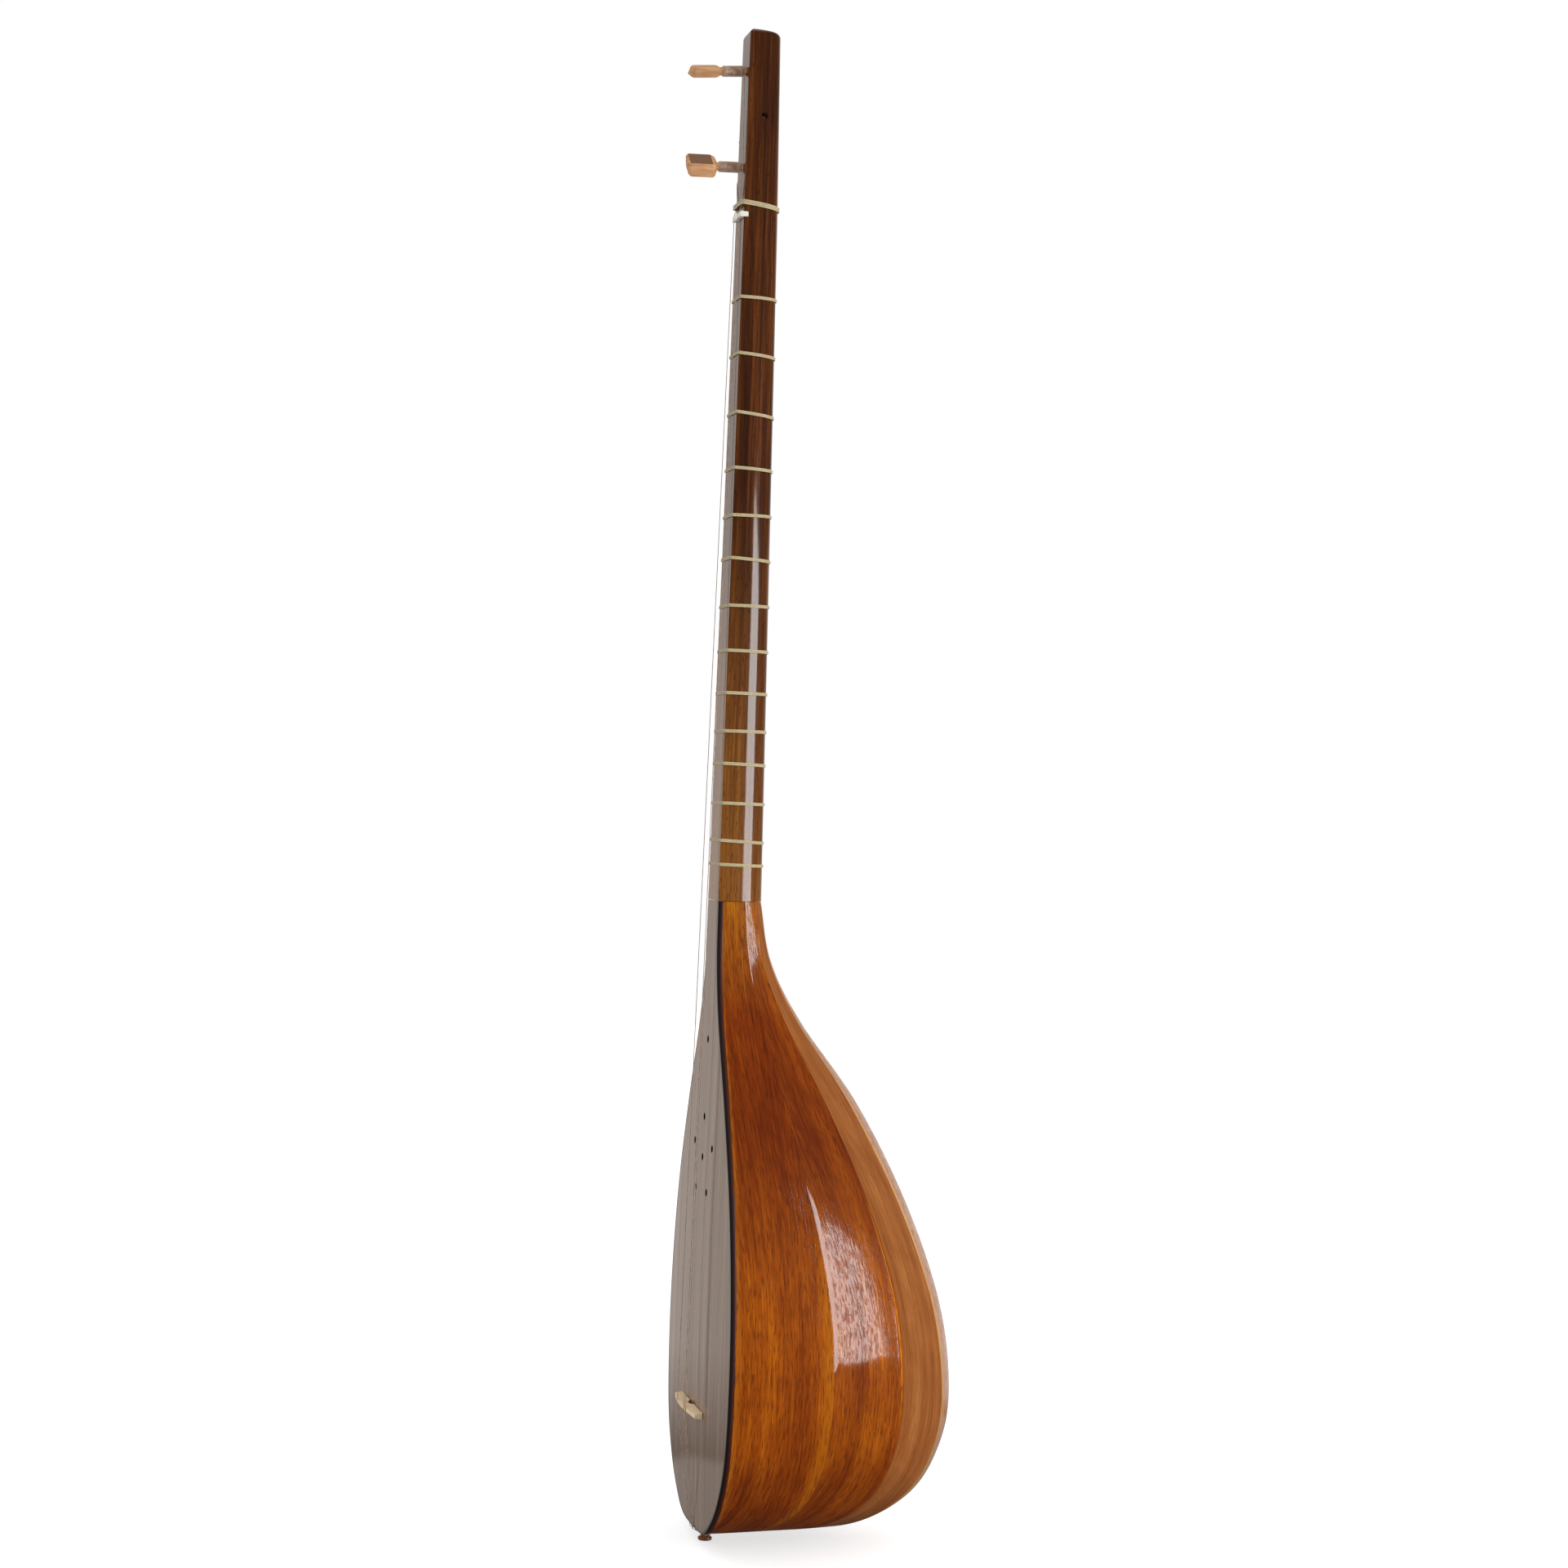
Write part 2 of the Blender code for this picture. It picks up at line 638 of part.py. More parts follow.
def make_bridge(surface):
    half = BRIDGE_LENGTH / 2
    arch = BRIDGE_ARCH_WIDTH / 2
    base = board_y(0.0, BRIDGE_Z) - GAP
    feet = [(-half, 0.0), (-arch, 0.0), (-arch * 0.7, BRIDGE_ARCH_HEIGHT * 0.8), (0.0, BRIDGE_ARCH_HEIGHT),
            (arch * 0.7, BRIDGE_ARCH_HEIGHT * 0.8), (arch, 0.0), (half, 0.0)]
    top = notched_top(STRING_AT_BRIDGE.values(), BRIDGE_NOTCH_WIDTH, half, bridge_height)
    board_half = board_half_width(BRIDGE_Z)
    middle = crown(BRIDGE_Z, 0.0, board_half)
    outline = []
    for x, h in feet:
        drop = middle - crown(BRIDGE_Z, x, board_half) if h == 0.0 else 0.0
        outline.append((x, h - drop))
    outline += top
    rings = []
    for way in (-1, 1):
        ring = []
        for x, h in outline:
            thickness = mix(BRIDGE_FOOT, BRIDGE_TOP, max(0.0, h) / BRIDGE_HEIGHT)
            ring.append((x, -h, way * thickness / 2))
        rings.append(ring)
    bridge = loft("bridge", rings, surface, parts)
    bridge.location = (0.0, base, BRIDGE_Z)
    bridge.rotation_euler = (0.0, radians(BRIDGE_SKEW), 0.0)


def make_nut(surface):
    """The nut stands in a slot across the neck, open at both ends."""
    half = neck_half_width(NUT_Z) - NUT_INSET
    floor = GAP - NUT_SLOT_DEPTH
    top = notched_top(STRING_AT_NUT.values(), NUT_NOTCH_WIDTH, half, lambda x: NUT_HEIGHT)
    outline = [(-half, floor), (half, floor)] + top
    rings = [[(x, FACE_Y - h, NUT_Z + way * NUT_THICKNESS / 2) for x, h in outline] for way in (-1, 1)]
    loft("nut", rings, surface, parts)


def band(name, z, width, thickness, slant, lift, knot, segments, surface):
    """A cord tied round the neck: a ring that follows the D outline, with a knot on its left."""
    half_width = neck_half_width(z)
    depth = neck_depth(z)
    inner = oval_section(half_width + GAP, depth + GAP, segments)
    outer = oval_section(half_width + GAP + thickness, depth + GAP + thickness, segments)
    corner = half_width + GAP
    corner_y = -GAP - lift * 0.3
    inner[0] = (corner, corner_y)
    inner[-1] = (-corner, corner_y)
    outer[0] = (corner + thickness * 0.8, corner_y - thickness * 0.6)
    outer[-1] = (-corner - thickness * 0.8, corner_y - thickness * 0.6)
    for x in (-half_width / 2, half_width / 2):
        inner.append((x, -GAP - lift))
        outer.append((x, -GAP - lift - thickness))
    low = width / 2          # half width of the cord against the neck
    high = low * 0.7         # and at its rounded outside
    rings = []
    for i, ((xi, yi), (xo, yo)) in enumerate(zip(inner, outer)):
        if i == segments - 2:
            xo -= knot
            yo += knot * 0.3
        rings.append([(xi, yi, -low), (xi, yi, low), (xo, yo, high), (xo, yo, -high)])
    fall = sin(radians(slant))
    rings = [[(x, FACE_Y + y, dz - y * fall) for x, y, dz in ring] for ring in rings]
    made = loft(name, rings, surface, parts, closed=True)
    made.location = (0.0, 0.0, z)


def fret_z(semitones):
    return BRIDGE_Z + SCALE_LENGTH * 2.0 ** (-semitones / 12.0)


def make_frets(surface):
    for i, (semitones, slant) in enumerate(zip(FRET_SEMITONES, FRET_SLANTS)):
        name = "fret_%02d" % (i + 1)
        z = fret_z(semitones)
        band(name, z, FRET_WIDTH, FRET_THICKNESS, slant, 0.0, FRET_KNOT, 16, surface)


def make_nut_tie(surface):
    lift = 2 * STRING_R + 2 * GAP
    band("nut_tie", NUT_Z + TIE_RISE, TIE_WIDTH, TIE_THICKNESS, TIE_SLANT, lift, 0.0, 20, surface)


# The pegs and the strings

def peg_frame(place, axis, side_axis):
    """A peg's own frame: local Z runs out to its head, local X to where its string leaves."""
    out = Vector(axis).normalized()
    x = Vector(side_axis)
    x = (x - out * x.dot(out)).normalized()
    y = out.cross(x)
    turn = Matrix((x, y, out)).transposed().to_4x4()
    return Matrix.Translation(place) @ turn


def peg_frames():
    """Where each peg's axis leaves the neck, with the depth of wood behind that point."""
    frames = {}
    for name, z, lean in (("upper", PEG_UPPER_Z, PEG_UPPER_LEAN), ("lower", PEG_LOWER_Z, PEG_LOWER_LEAN)):
        tip = radians(lean)
        frame = peg_frame(Vector((0.0, FACE_Y, z)), (0.0, -cos(tip), -sin(tip)), (1.0, 0.0, 0.0))
        frames[name] = (frame, neck_depth(z))
    tip = radians(PEG_SIDE_LEAN)
    z = PEG_SIDE_Z
    half = neck_half_width(z)
    place = Vector((-half, FACE_Y + neck_depth(z) / 2, z - half * sin(tip)))
    frames["side"] = (peg_frame(place, (-cos(tip), 0.0, -sin(tip)), (0.0, -1.0, 0.0)), 2 * half)
    return frames


def lens(width, thickness, points):
    """A rhombus with softened corners."""
    ring = []
    for i in range(points):
        c = cos(2 * pi * i / points)
        s = sin(2 * pi * i / points)
        x = copysign(abs(c) ** PEG_HEAD_POWER, c) * thickness / 2
        y = copysign(abs(s) ** PEG_HEAD_POWER, s) * width / 2
        ring.append((x, y))
    return ring


def circle(radius, z, points):
    angles = [2 * pi * i / points for i in range(points)]
    return [(radius * cos(angle), radius * sin(angle), z) for angle in angles]


def make_peg(name, frame, wood_depth, surface, quarter_turn):
    """A tapered shaft and a flat head with a ridge along each broad side."""
    points = 16
    taper = (PEG_SHAFT_R - PEG_TIP_R) / wood_depth
    tip = -wood_depth + PEG_TIP_RECESS
    tip_r = PEG_SHAFT_R + taper * tip
    rings = [circle(tip_r - PEG_TIP_BEVEL, tip, points), circle(tip_r, tip + PEG_TIP_BEVEL, points),
             circle(PEG_SHAFT_R, 0.0, points), circle(PEG_SHAFT_R, PEG_NECK_LENGTH, points)]
    levels = ((PEG_SHOULDER * 0.3, 0.80), (PEG_SHOULDER, 1.0),
              (PEG_HEAD_LENGTH - PEG_HEAD_BEVEL, 1.0), (PEG_HEAD_LENGTH, 0.78))
    for z, share in levels:
        outline = lens(PEG_HEAD_WIDTH * share, PEG_HEAD_THICKNESS * share, points)
        slant = PEG_HEAD_SLANT * min(1.0, z / PEG_SHOULDER)
        base = PEG_NECK_LENGTH + z + slant / 2
        rings.append([(x, y, base + slant * y / PEG_HEAD_WIDTH) for x, y in outline])
    peg = loft("peg_" + name, rings, surface, parts)
    peg.matrix_world = frame @ Matrix.Rotation(radians(quarter_turn), 4, "Z")


def winding_points():
    """A helix on the shaft with a straight run at each end, in the peg's frame."""
    radius = PEG_SHAFT_R + GAP + WINDING_R
    count = WINDING_LOOPS * WINDING_POINTS
    helix = []
    for i in range(count + 1):
        angle = 2 * pi * i / WINDING_POINTS
        z = WINDING_START + WINDING_PITCH * i / WINDING_POINTS
        helix.append(Vector((radius * cos(angle), radius * sin(angle), z)))
    run = 2 * WINDING_R
    start = helix[0] + (helix[0] - helix[1]).normalized() * run
    end = helix[-1] + (helix[-1] - helix[-2]).normalized() * run
    return [start] + helix + [end]


def least_gap(points, radius):
    """The narrowest space between parts of a tube that aren't neighbours along it."""
    least = 1.0
    for i, a in enumerate(points):
        for b in points[i + WINDING_POINTS // 2:]:
            least = min(least, (a - b).length - 2 * radius)
    return least


def make_pegs(wood, steel, neck):
    turns = {"upper": 90.0, "lower": 0.0, "side": 0.0}
    for name, (frame, wood_depth) in peg_frames().items():
        make_peg(name, frame, wood_depth, wood, turns[name])
        above = 0.2 * wood_depth
        below = 1.2 * wood_depth
        taper = (PEG_SHAFT_R - PEG_TIP_R) / wood_depth
        start = frame @ Vector((0.0, 0.0, above))
        end = frame @ Vector((0.0, 0.0, -below))
        mouth_r = PEG_SHAFT_R + taper * above + GAP
        far_r = PEG_SHAFT_R - taper * below + GAP
        bore = rod("bore_" + name, start, end, mouth_r, far_r, 20, wood, cutters)
        boolean(neck, bore)
        winding = tube("winding_" + name, winding_points(), WINDING_R, 1, steel, parts)
        winding.matrix_world = frame
    print("least gap in a winding, mm:", round(least_gap(winding_points(), WINDING_R) * 1000, 3))


def pin_loop(side, level):
    """The end of a string: round the back of the pin's groove, starting on one side."""
    radius = PIN_GROOVE_R + GAP + STRING_R
    count = 12
    points = []
    for i in range(count + 1):
        angle = radians(STRING_LOOP_ANGLE) * i / count
        points.append(Vector((side * radius * cos(angle), radius * sin(angle), level)))
    return points


def make_strings(steel):
    """Each string runs from the pin over the edge, the bridge and the nut to its peg."""
    frames = peg_frames()
    leave = PEG_SHAFT_R + GAP + WINDING_R
    tie_z = NUT_Z + TIE_RISE
    edge_y = rim_y(BOWL_BOTTOM) - GAP - STRING_R
    edge_z = BOWL_BOTTOM - GAP - STRING_R / 2
    for name in ("upper", "lower", "side"):
        side = -1 if name == "side" else 1
        over_nut = STRING_AT_NUT[name]
        over_bridge = STRING_AT_BRIDGE[name]
        bridge_y = board_y(0.0, BRIDGE_Z) - GAP - bridge_height(over_bridge) + STRING_SINK
        bridge_z = BRIDGE_Z - over_bridge * sin(radians(BRIDGE_SKEW))
        points = pin_loop(side, STRING_LOOP_Z[name])[::-1]
        points.append(Vector((STRING_AT_EDGE[name], edge_y, edge_z)))
        points.append(Vector((over_bridge, bridge_y, bridge_z)))
        for way in (-1, 1):
            past_nut = NUT_Z + way * (NUT_THICKNESS / 2 + GAP)
            points.append(Vector((over_nut, FACE_Y - NUT_HEIGHT + STRING_SINK, past_nut)))
        under_tie = FACE_Y - GAP - STRING_R
        points.append(Vector((over_nut, under_tie, tie_z - TIE_WIDTH / 2)))
        points.append(Vector((over_nut, under_tie, tie_z + TIE_WIDTH / 2)))
        frame = frames[name][0]
        end = frame @ Vector((leave, -STRING_END_CLEARANCE, WINDING_START))
        if name == "side":
            corner_z = mix(tie_z, end.z, 0.3)
            corner_x = -neck_half_width(corner_z) - 2 * STRING_R
            points.append(Vector((corner_x, FACE_Y - STRING_R / 2, corner_z)))
        points.append(end)
        tube("string_" + name, points, STRING_R, 1, steel, parts)


def build():
    side_rib = material("varnished_rib_orange", "#93420a", 0.16)
    dark_rib = material("varnished_rib_brown", "#843a08", 0.16)
    pale_rib = material("varnished_rib_tan", "#9c6030", 0.18)
    back_rib = material("varnished_rib_back", "#a5642c", 0.18)
    walnut = material("walnut", "#54290f", 0.25)
    board = material("soundboard_mulberry", "#978980", 0.35)
    binding = material("dark_edge_strip", "#2a1014", 0.35)
    block = material("block_willow", "#b08a5c", 0.7)
    pin_wood = material("pin_dark_wood", "#4a2008", 0.3)
    pale_wood = material("bridge_boxwood", "#cdb892", 0.5)
    bone = material("nut_bone", "#e8e2d4", 0.4)
    gut = material("gut_cord", "#d8cfa8", 0.5)
    peg_wood = material("peg_bare_wood", "#c09468", 0.6)
    steel = material("string_steel", "#b8b4ae", 0.3, 1.0)
    make_ribs((side_rib, dark_rib, pale_rib, back_rib))
    make_binding(binding)
    make_soundboard(board)
    neck = make_neck(walnut)
    make_neck_block(block)
    make_tail_block(block)
    make_tail_pin(pin_wood)
    make_bridge(pale_wood)
    make_nut(bone)
    make_nut_tie(gut)
    make_frets(gut)
    make_pegs(peg_wood, steel, neck)
    make_strings(steel)
    bpy.context.view_layer.update()


build()
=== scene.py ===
from math import asin, copysign, cos, hypot, pi, radians, sin

import bpy
from mathutils import Matrix, Vector


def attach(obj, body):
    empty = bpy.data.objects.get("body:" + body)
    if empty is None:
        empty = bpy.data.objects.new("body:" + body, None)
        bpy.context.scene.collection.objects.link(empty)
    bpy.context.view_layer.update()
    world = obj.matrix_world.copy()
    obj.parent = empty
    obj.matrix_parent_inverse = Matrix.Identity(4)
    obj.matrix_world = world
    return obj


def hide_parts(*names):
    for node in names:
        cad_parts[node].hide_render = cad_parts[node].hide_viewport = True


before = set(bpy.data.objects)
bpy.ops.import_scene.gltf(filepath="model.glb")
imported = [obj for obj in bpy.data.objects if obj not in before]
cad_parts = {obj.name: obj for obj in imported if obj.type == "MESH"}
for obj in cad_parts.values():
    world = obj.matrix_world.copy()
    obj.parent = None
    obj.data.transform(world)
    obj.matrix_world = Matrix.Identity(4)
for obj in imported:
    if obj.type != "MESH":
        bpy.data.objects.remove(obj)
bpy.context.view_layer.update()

bpy.ops.object.select_all(action="DESELECT")


# The camera stands where the photograph's did: level with the middle of the
# instrument, 1.7 m to its right and slightly in front, with a short telephoto lens.

camera = bpy.data.objects.new("camera", bpy.data.cameras.new("camera"))
bpy.context.scene.collection.objects.link(camera)
camera.data.sensor_width = 36.0
camera.data.lens = 65.625
camera.location = (1.66019, -0.39329, 0.43309)
camera.rotation_euler = (radians(90.60566), radians(-2.22178), radians(75.65102))
bpy.context.scene.camera = camera


# The bowl: eight staves of mulberry, bent over a mould and planed to meet on soft
# creases. They fan out from the neck and run together at the tail pin. The varnish
# is rubbed to a gloss, and the wood's pores show dark even inside a reflection.

JOINT_Z = 0.3805          # where the bowl meets the neck
FACE_Y = -0.010           # plane of the fingerboard, in front of the tail pin's axis
BOWL_LOW = 0.008
BOWL_HIGH = 0.3802
HALF_WIDTH = 0.08148
DEPTH = 0.15695
NECK_HALF_JOINT = 0.01395
NECK_DEPTH_JOINT = 0.0291
BOARD_DROP = 0.002
STRIP_DEPTH = 0.0033      # board and edge strip in front of the first stave
PIN_HOLE_R = 0.0026
STAVE_THICKNESS = 0.0032
STAVE_FLATNESS = 0.5
CREASE_WIDTH = 0.10       # share of a stave that is rounded off at each edge

# Outline of the rim and profile of the back: share of the bowl's length, share of size
RIM_SHAPE = ((0.0, 0.0), (0.005, 0.32), (0.027, 0.53), (0.075, 0.765), (0.153, 0.945), (0.274, 1.0),
             (0.408, 0.957), (0.542, 0.82), (0.676, 0.583), (0.811, 0.30), (0.905, 0.188))
BACK_SHAPE = ((0.0, 0.0), (0.003, 0.32), (0.006, 0.64), (0.051, 0.853), (0.123, 0.962), (0.215, 1.0),
              (0.354, 0.952), (0.515, 0.806), (0.676, 0.596), (0.811, 0.354), (0.905, 0.233))

# Angles of the creases in degrees, from the rim round to the middle of the back
CREASES_BOWL = (24.0, 45.0, 65.0)
CREASES_NECK = (34.0, 54.0, 72.0)
CREASES_PIN = (-18.0, 18.0, 54.0)
NECK_BLEND = 0.65         # share of the bowl's length from which its section turns into the neck's
NECK_SQUARENESS = 0.92
FRONT_SEAM = 0.4          # share of the first staves' lower ends that lies on the seam in front


def mix(a, b, share):
    return a + (b - a) * share


def ease(x):
    x = max(0.0, min(1.0, x))
    return x * x * (3.0 - 2.0 * x)


def smooth_curve(points, step):
    """A point on the smooth curve through the points, at a fractional step."""
    last = len(points) - 1
    i = max(0, min(last - 1, int(step)))
    t = step - i
    p1 = points[i]
    p2 = points[i + 1]
    p0 = points[i - 1] if i > 0 else p1 * 2 - p2
    p3 = points[i + 2] if i + 2 <= last else p2 * 2 - p1
    return (p1 * 2 + (p2 - p0) * t + (p0 * 2 - p1 * 5 + p2 * 4 - p3) * t * t
            + (p1 * 3 - p0 - p2 * 3 + p3) * t * t * t) / 2


rim = [Vector((mix(BOWL_LOW, BOWL_HIGH, z), w * HALF_WIDTH)) for z, w in RIM_SHAPE]
rim.append(Vector((BOWL_HIGH, NECK_HALF_JOINT)))
back = [Vector((mix(BOWL_LOW, BOWL_HIGH, z), d * DEPTH)) for z, d in BACK_SHAPE]
back.append(Vector((BOWL_HIGH, NECK_DEPTH_JOINT)))
LAST = len(rim) - 1


def rim_y(z):
    """The board's edge falls back a little from the neck to the tail."""
    return FACE_Y + BOARD_DROP * (1.0 - z / JOINT_Z)


def neck_share(step):
    return ease((rim[step][0] / JOINT_Z - NECK_BLEND) / (1.0 - NECK_BLEND))


def crease(step, number):
    """The angle of a crease at one step of the outline, from 0 at the rim to 4 at the back."""
    power = mix(1.0, NECK_SQUARENESS, neck_share(step))
    if number == 0:
        return asin((STRIP_DEPTH / back[step][1]) ** (1.0 / power))
    if number == 4:
        return pi / 2
    return radians(mix(CREASES_BOWL[number - 1], CREASES_NECK[number - 1], neck_share(step)))


def pin_end(stave, share):
    """The staves' lower ends lie round the pin's hole, the first one also on the seam in front."""
    if stave == 0 and share < FRONT_SEAM:
        return Vector((0.0, mix(rim_y(BOWL_LOW) + STRIP_DEPTH, -PIN_HOLE_R, share / FRONT_SEAM), BOWL_LOW))
    if stave == 0:
        angle = radians(mix(-90.0, CREASES_PIN[0], (share - FRONT_SEAM) / (1.0 - FRONT_SEAM)))
    else:
        edges = CREASES_PIN + (90.0,)
        angle = radians(mix(edges[stave - 1], edges[stave], share))
    return Vector((PIN_HOLE_R * max(0.0, cos(angle)), PIN_HOLE_R * sin(angle), BOWL_LOW))


def bowl_section(step, angle):
    power = mix(1.0, NECK_SQUARENESS, neck_share(step))
    across = rim[step][1] * max(0.0, cos(angle)) ** power
    behind = back[step][1] * sin(angle) ** power
    return Vector((across, rim_y(rim[step][0]) + behind, mix(rim[step][0], back[step][0], sin(angle) ** 2)))


def stave_rows(stave, shares, steps):
    """Rows of points on a stave's outer face, its middle planed half flat."""
    columns = []
    for share in shares:
        column = [pin_end(stave, share)]
        for step in range(1, LAST + 1):
            column.append(bowl_section(step, mix(crease(step, stave), crease(step, stave + 1), share)))
        columns.append(column)
    rows = []
    for step in steps:
        row = []
        skin = [smooth_curve(column, step) for column in columns]
        for share, point in zip(shares, skin):
            off_crease = ease(min(share, 1.0 - share) / CREASE_WIDTH)
            if stave == 0 and 0.0 < share < 0.5:      # the rim is an edge and no crease
                off_crease = 1.0
            flat = mix(skin[0], skin[-1], share)
            row.append(mix(point, flat, STAVE_FLATNESS * min(1.0, step) * off_crease))
        rows.append(row)
    return rows


def named(name):
    """The object that the last operator made, under its own name."""
    made = bpy.context.object
    made.name = name
    made.data.name = name
    return made


def select_only(piece):
    bpy.ops.object.select_all(action="DESELECT")
    piece.select_set(True)
    bpy.context.view_layer.objects.active = piece


def settle(piece):
    """Writes a piece's place, turn and size into its mesh, so that its origin is the scene's."""
    select_only(piece)
    bpy.ops.object.transform_apply(location=True, rotation=True, scale=True)


def start_edit(piece, action="SELECT"):
    """Opens a piece in edit mode, with all of it selected or none."""
    select_only(piece)
    bpy.ops.object.mode_set(mode="EDIT")
    bpy.ops.mesh.select_all(action=action)


def clean(piece, cap=False):
    """Joins doubled points, closes open ends and turns every face outwards."""
    start_edit(piece)
    bpy.ops.mesh.remove_doubles(threshold=0.000001)
    if cap:
        bpy.ops.mesh.fill_holes(sides=0)
    bpy.ops.mesh.normals_make_consistent(inside=False)
    bpy.ops.object.mode_set(mode="OBJECT")


def grid(name, rows):
    """A sheet through rows of points, with a map in metres across and along, and one in shares."""
    across = len(rows[0]) - 1
    along = len(rows) - 1
    bpy.ops.mesh.primitive_grid_add(x_subdivisions=across, y_subdivisions=along, size=1.0)
    made = named(name)
    spots = []
    for vertex in made.data.vertices:
        j = round((vertex.co.x + 0.5) * across)
        i = round((vertex.co.y + 0.5) * along)
        vertex.co = rows[i][j]
        spots.append((i, j))
    run = [[0.0] * (across + 1)]
    for lower, upper in zip(rows, rows[1:]):
        run.append([start + (b - a).length for start, a, b in zip(run[-1], lower, upper)])
    maps = made.data.uv_layers
    maps[0].name = "metres"
    maps.new(name="shares")
    metres, shares = maps["metres"].data, maps["shares"].data
    for loop in made.data.loops:
        i, j = spots[loop.vertex_index]
        width = (rows[i][j] - rows[i][across // 2]).length
        metres[loop.index].uv = (copysign(width, j - across / 2), run[i][j])
        shares[loop.index].uv = (j / across, i / along)
    return made


def apply_modifier(piece, name, kind, **settings):
    modifier = piece.modifiers.new(name, kind)
    for setting, value in settings.items():
        setattr(modifier, setting, value)
    select_only(piece)
    bpy.ops.object.modifier_apply(modifier=name)


def finish_piece(piece, surface, body, node):
    """Shades a piece, gives it its material and puts it on the instrument."""
    settle(piece)
    bpy.ops.object.shade_smooth_by_angle(angle=radians(35.0))
    piece.data.materials.clear()
    piece.data.materials.append(surface)
    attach(piece, body)
    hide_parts(node)


def linear(hex_colour):
    """A colour written as sRGB hex, as the linear values that a shader reads."""
    channels = [int(hex_colour[i:i + 2], 16) / 255 for i in (1, 3, 5)]
    return (*[c / 12.92 if c < 0.04045 else ((c + 0.055) / 1.055) ** 2.4 for c in channels], 1.0)


def new_material(name, **sockets):
    """A material whose shader has these constants."""
    made = bpy.data.materials.new(name)
    made.use_nodes = True
    shader = made.node_tree.nodes["Principled BSDF"]
    for socket, value in sockets.items():
        shader.inputs[socket.replace("_", " ")].default_value = value
    return made, made.node_tree, shader


def add(tree, kind, inputs, stops=(), **settings):
    """Adds a node with its settings, its links or values, and the stops of its colour ramp."""
    node = tree.nodes.new("ShaderNode" + kind)
    for name, value in settings.items():
        setattr(node, name, value)
    for name, value in inputs.items():
        if isinstance(value, bpy.types.NodeSocket):
            tree.links.new(value, node.inputs[name])
        else:
            node.inputs[name].default_value = value
    for i, (place, colour) in enumerate(stops):
        if i > 1:
            node.color_ramp.elements.new(place)
        node.color_ramp.elements[i].position = place
        node.color_ramp.elements[i].color = linear(colour)
    return node


def drive(tree, node, **outputs):
    """Links outputs to the node's sockets of these names."""
    for socket, output in outputs.items():
        tree.links.new(output, node.inputs[socket.replace("_", " ")])


def streaks(tree, place, sizes, detail, roughness=0.5, shift=0.0):
    """A pattern of streaks that are so many millimetres wide, deep and long."""
    drawn = add(tree, "Mapping", {"Vector": place, "Location": (shift, shift * 0.6, shift),
                                  "Scale": [1000.0 / size for size in sizes]})
    return add(tree, "TexNoise", {"Vector": drawn.outputs[0], "Scale": 1.0, "Detail": detail,
                                  "Roughness": roughness}).outputs[0]


# Tone multiplied into the staves' colour along the bowl, from the tail pin to the neck
BOWL_TONES_ALONG = ((0.25, "#dcb4b2"), (0.52, "#f8d69e"), (0.70, "#bc8d7c"), (0.82, "#ce9d81"), (1.0, "#ffffff"))


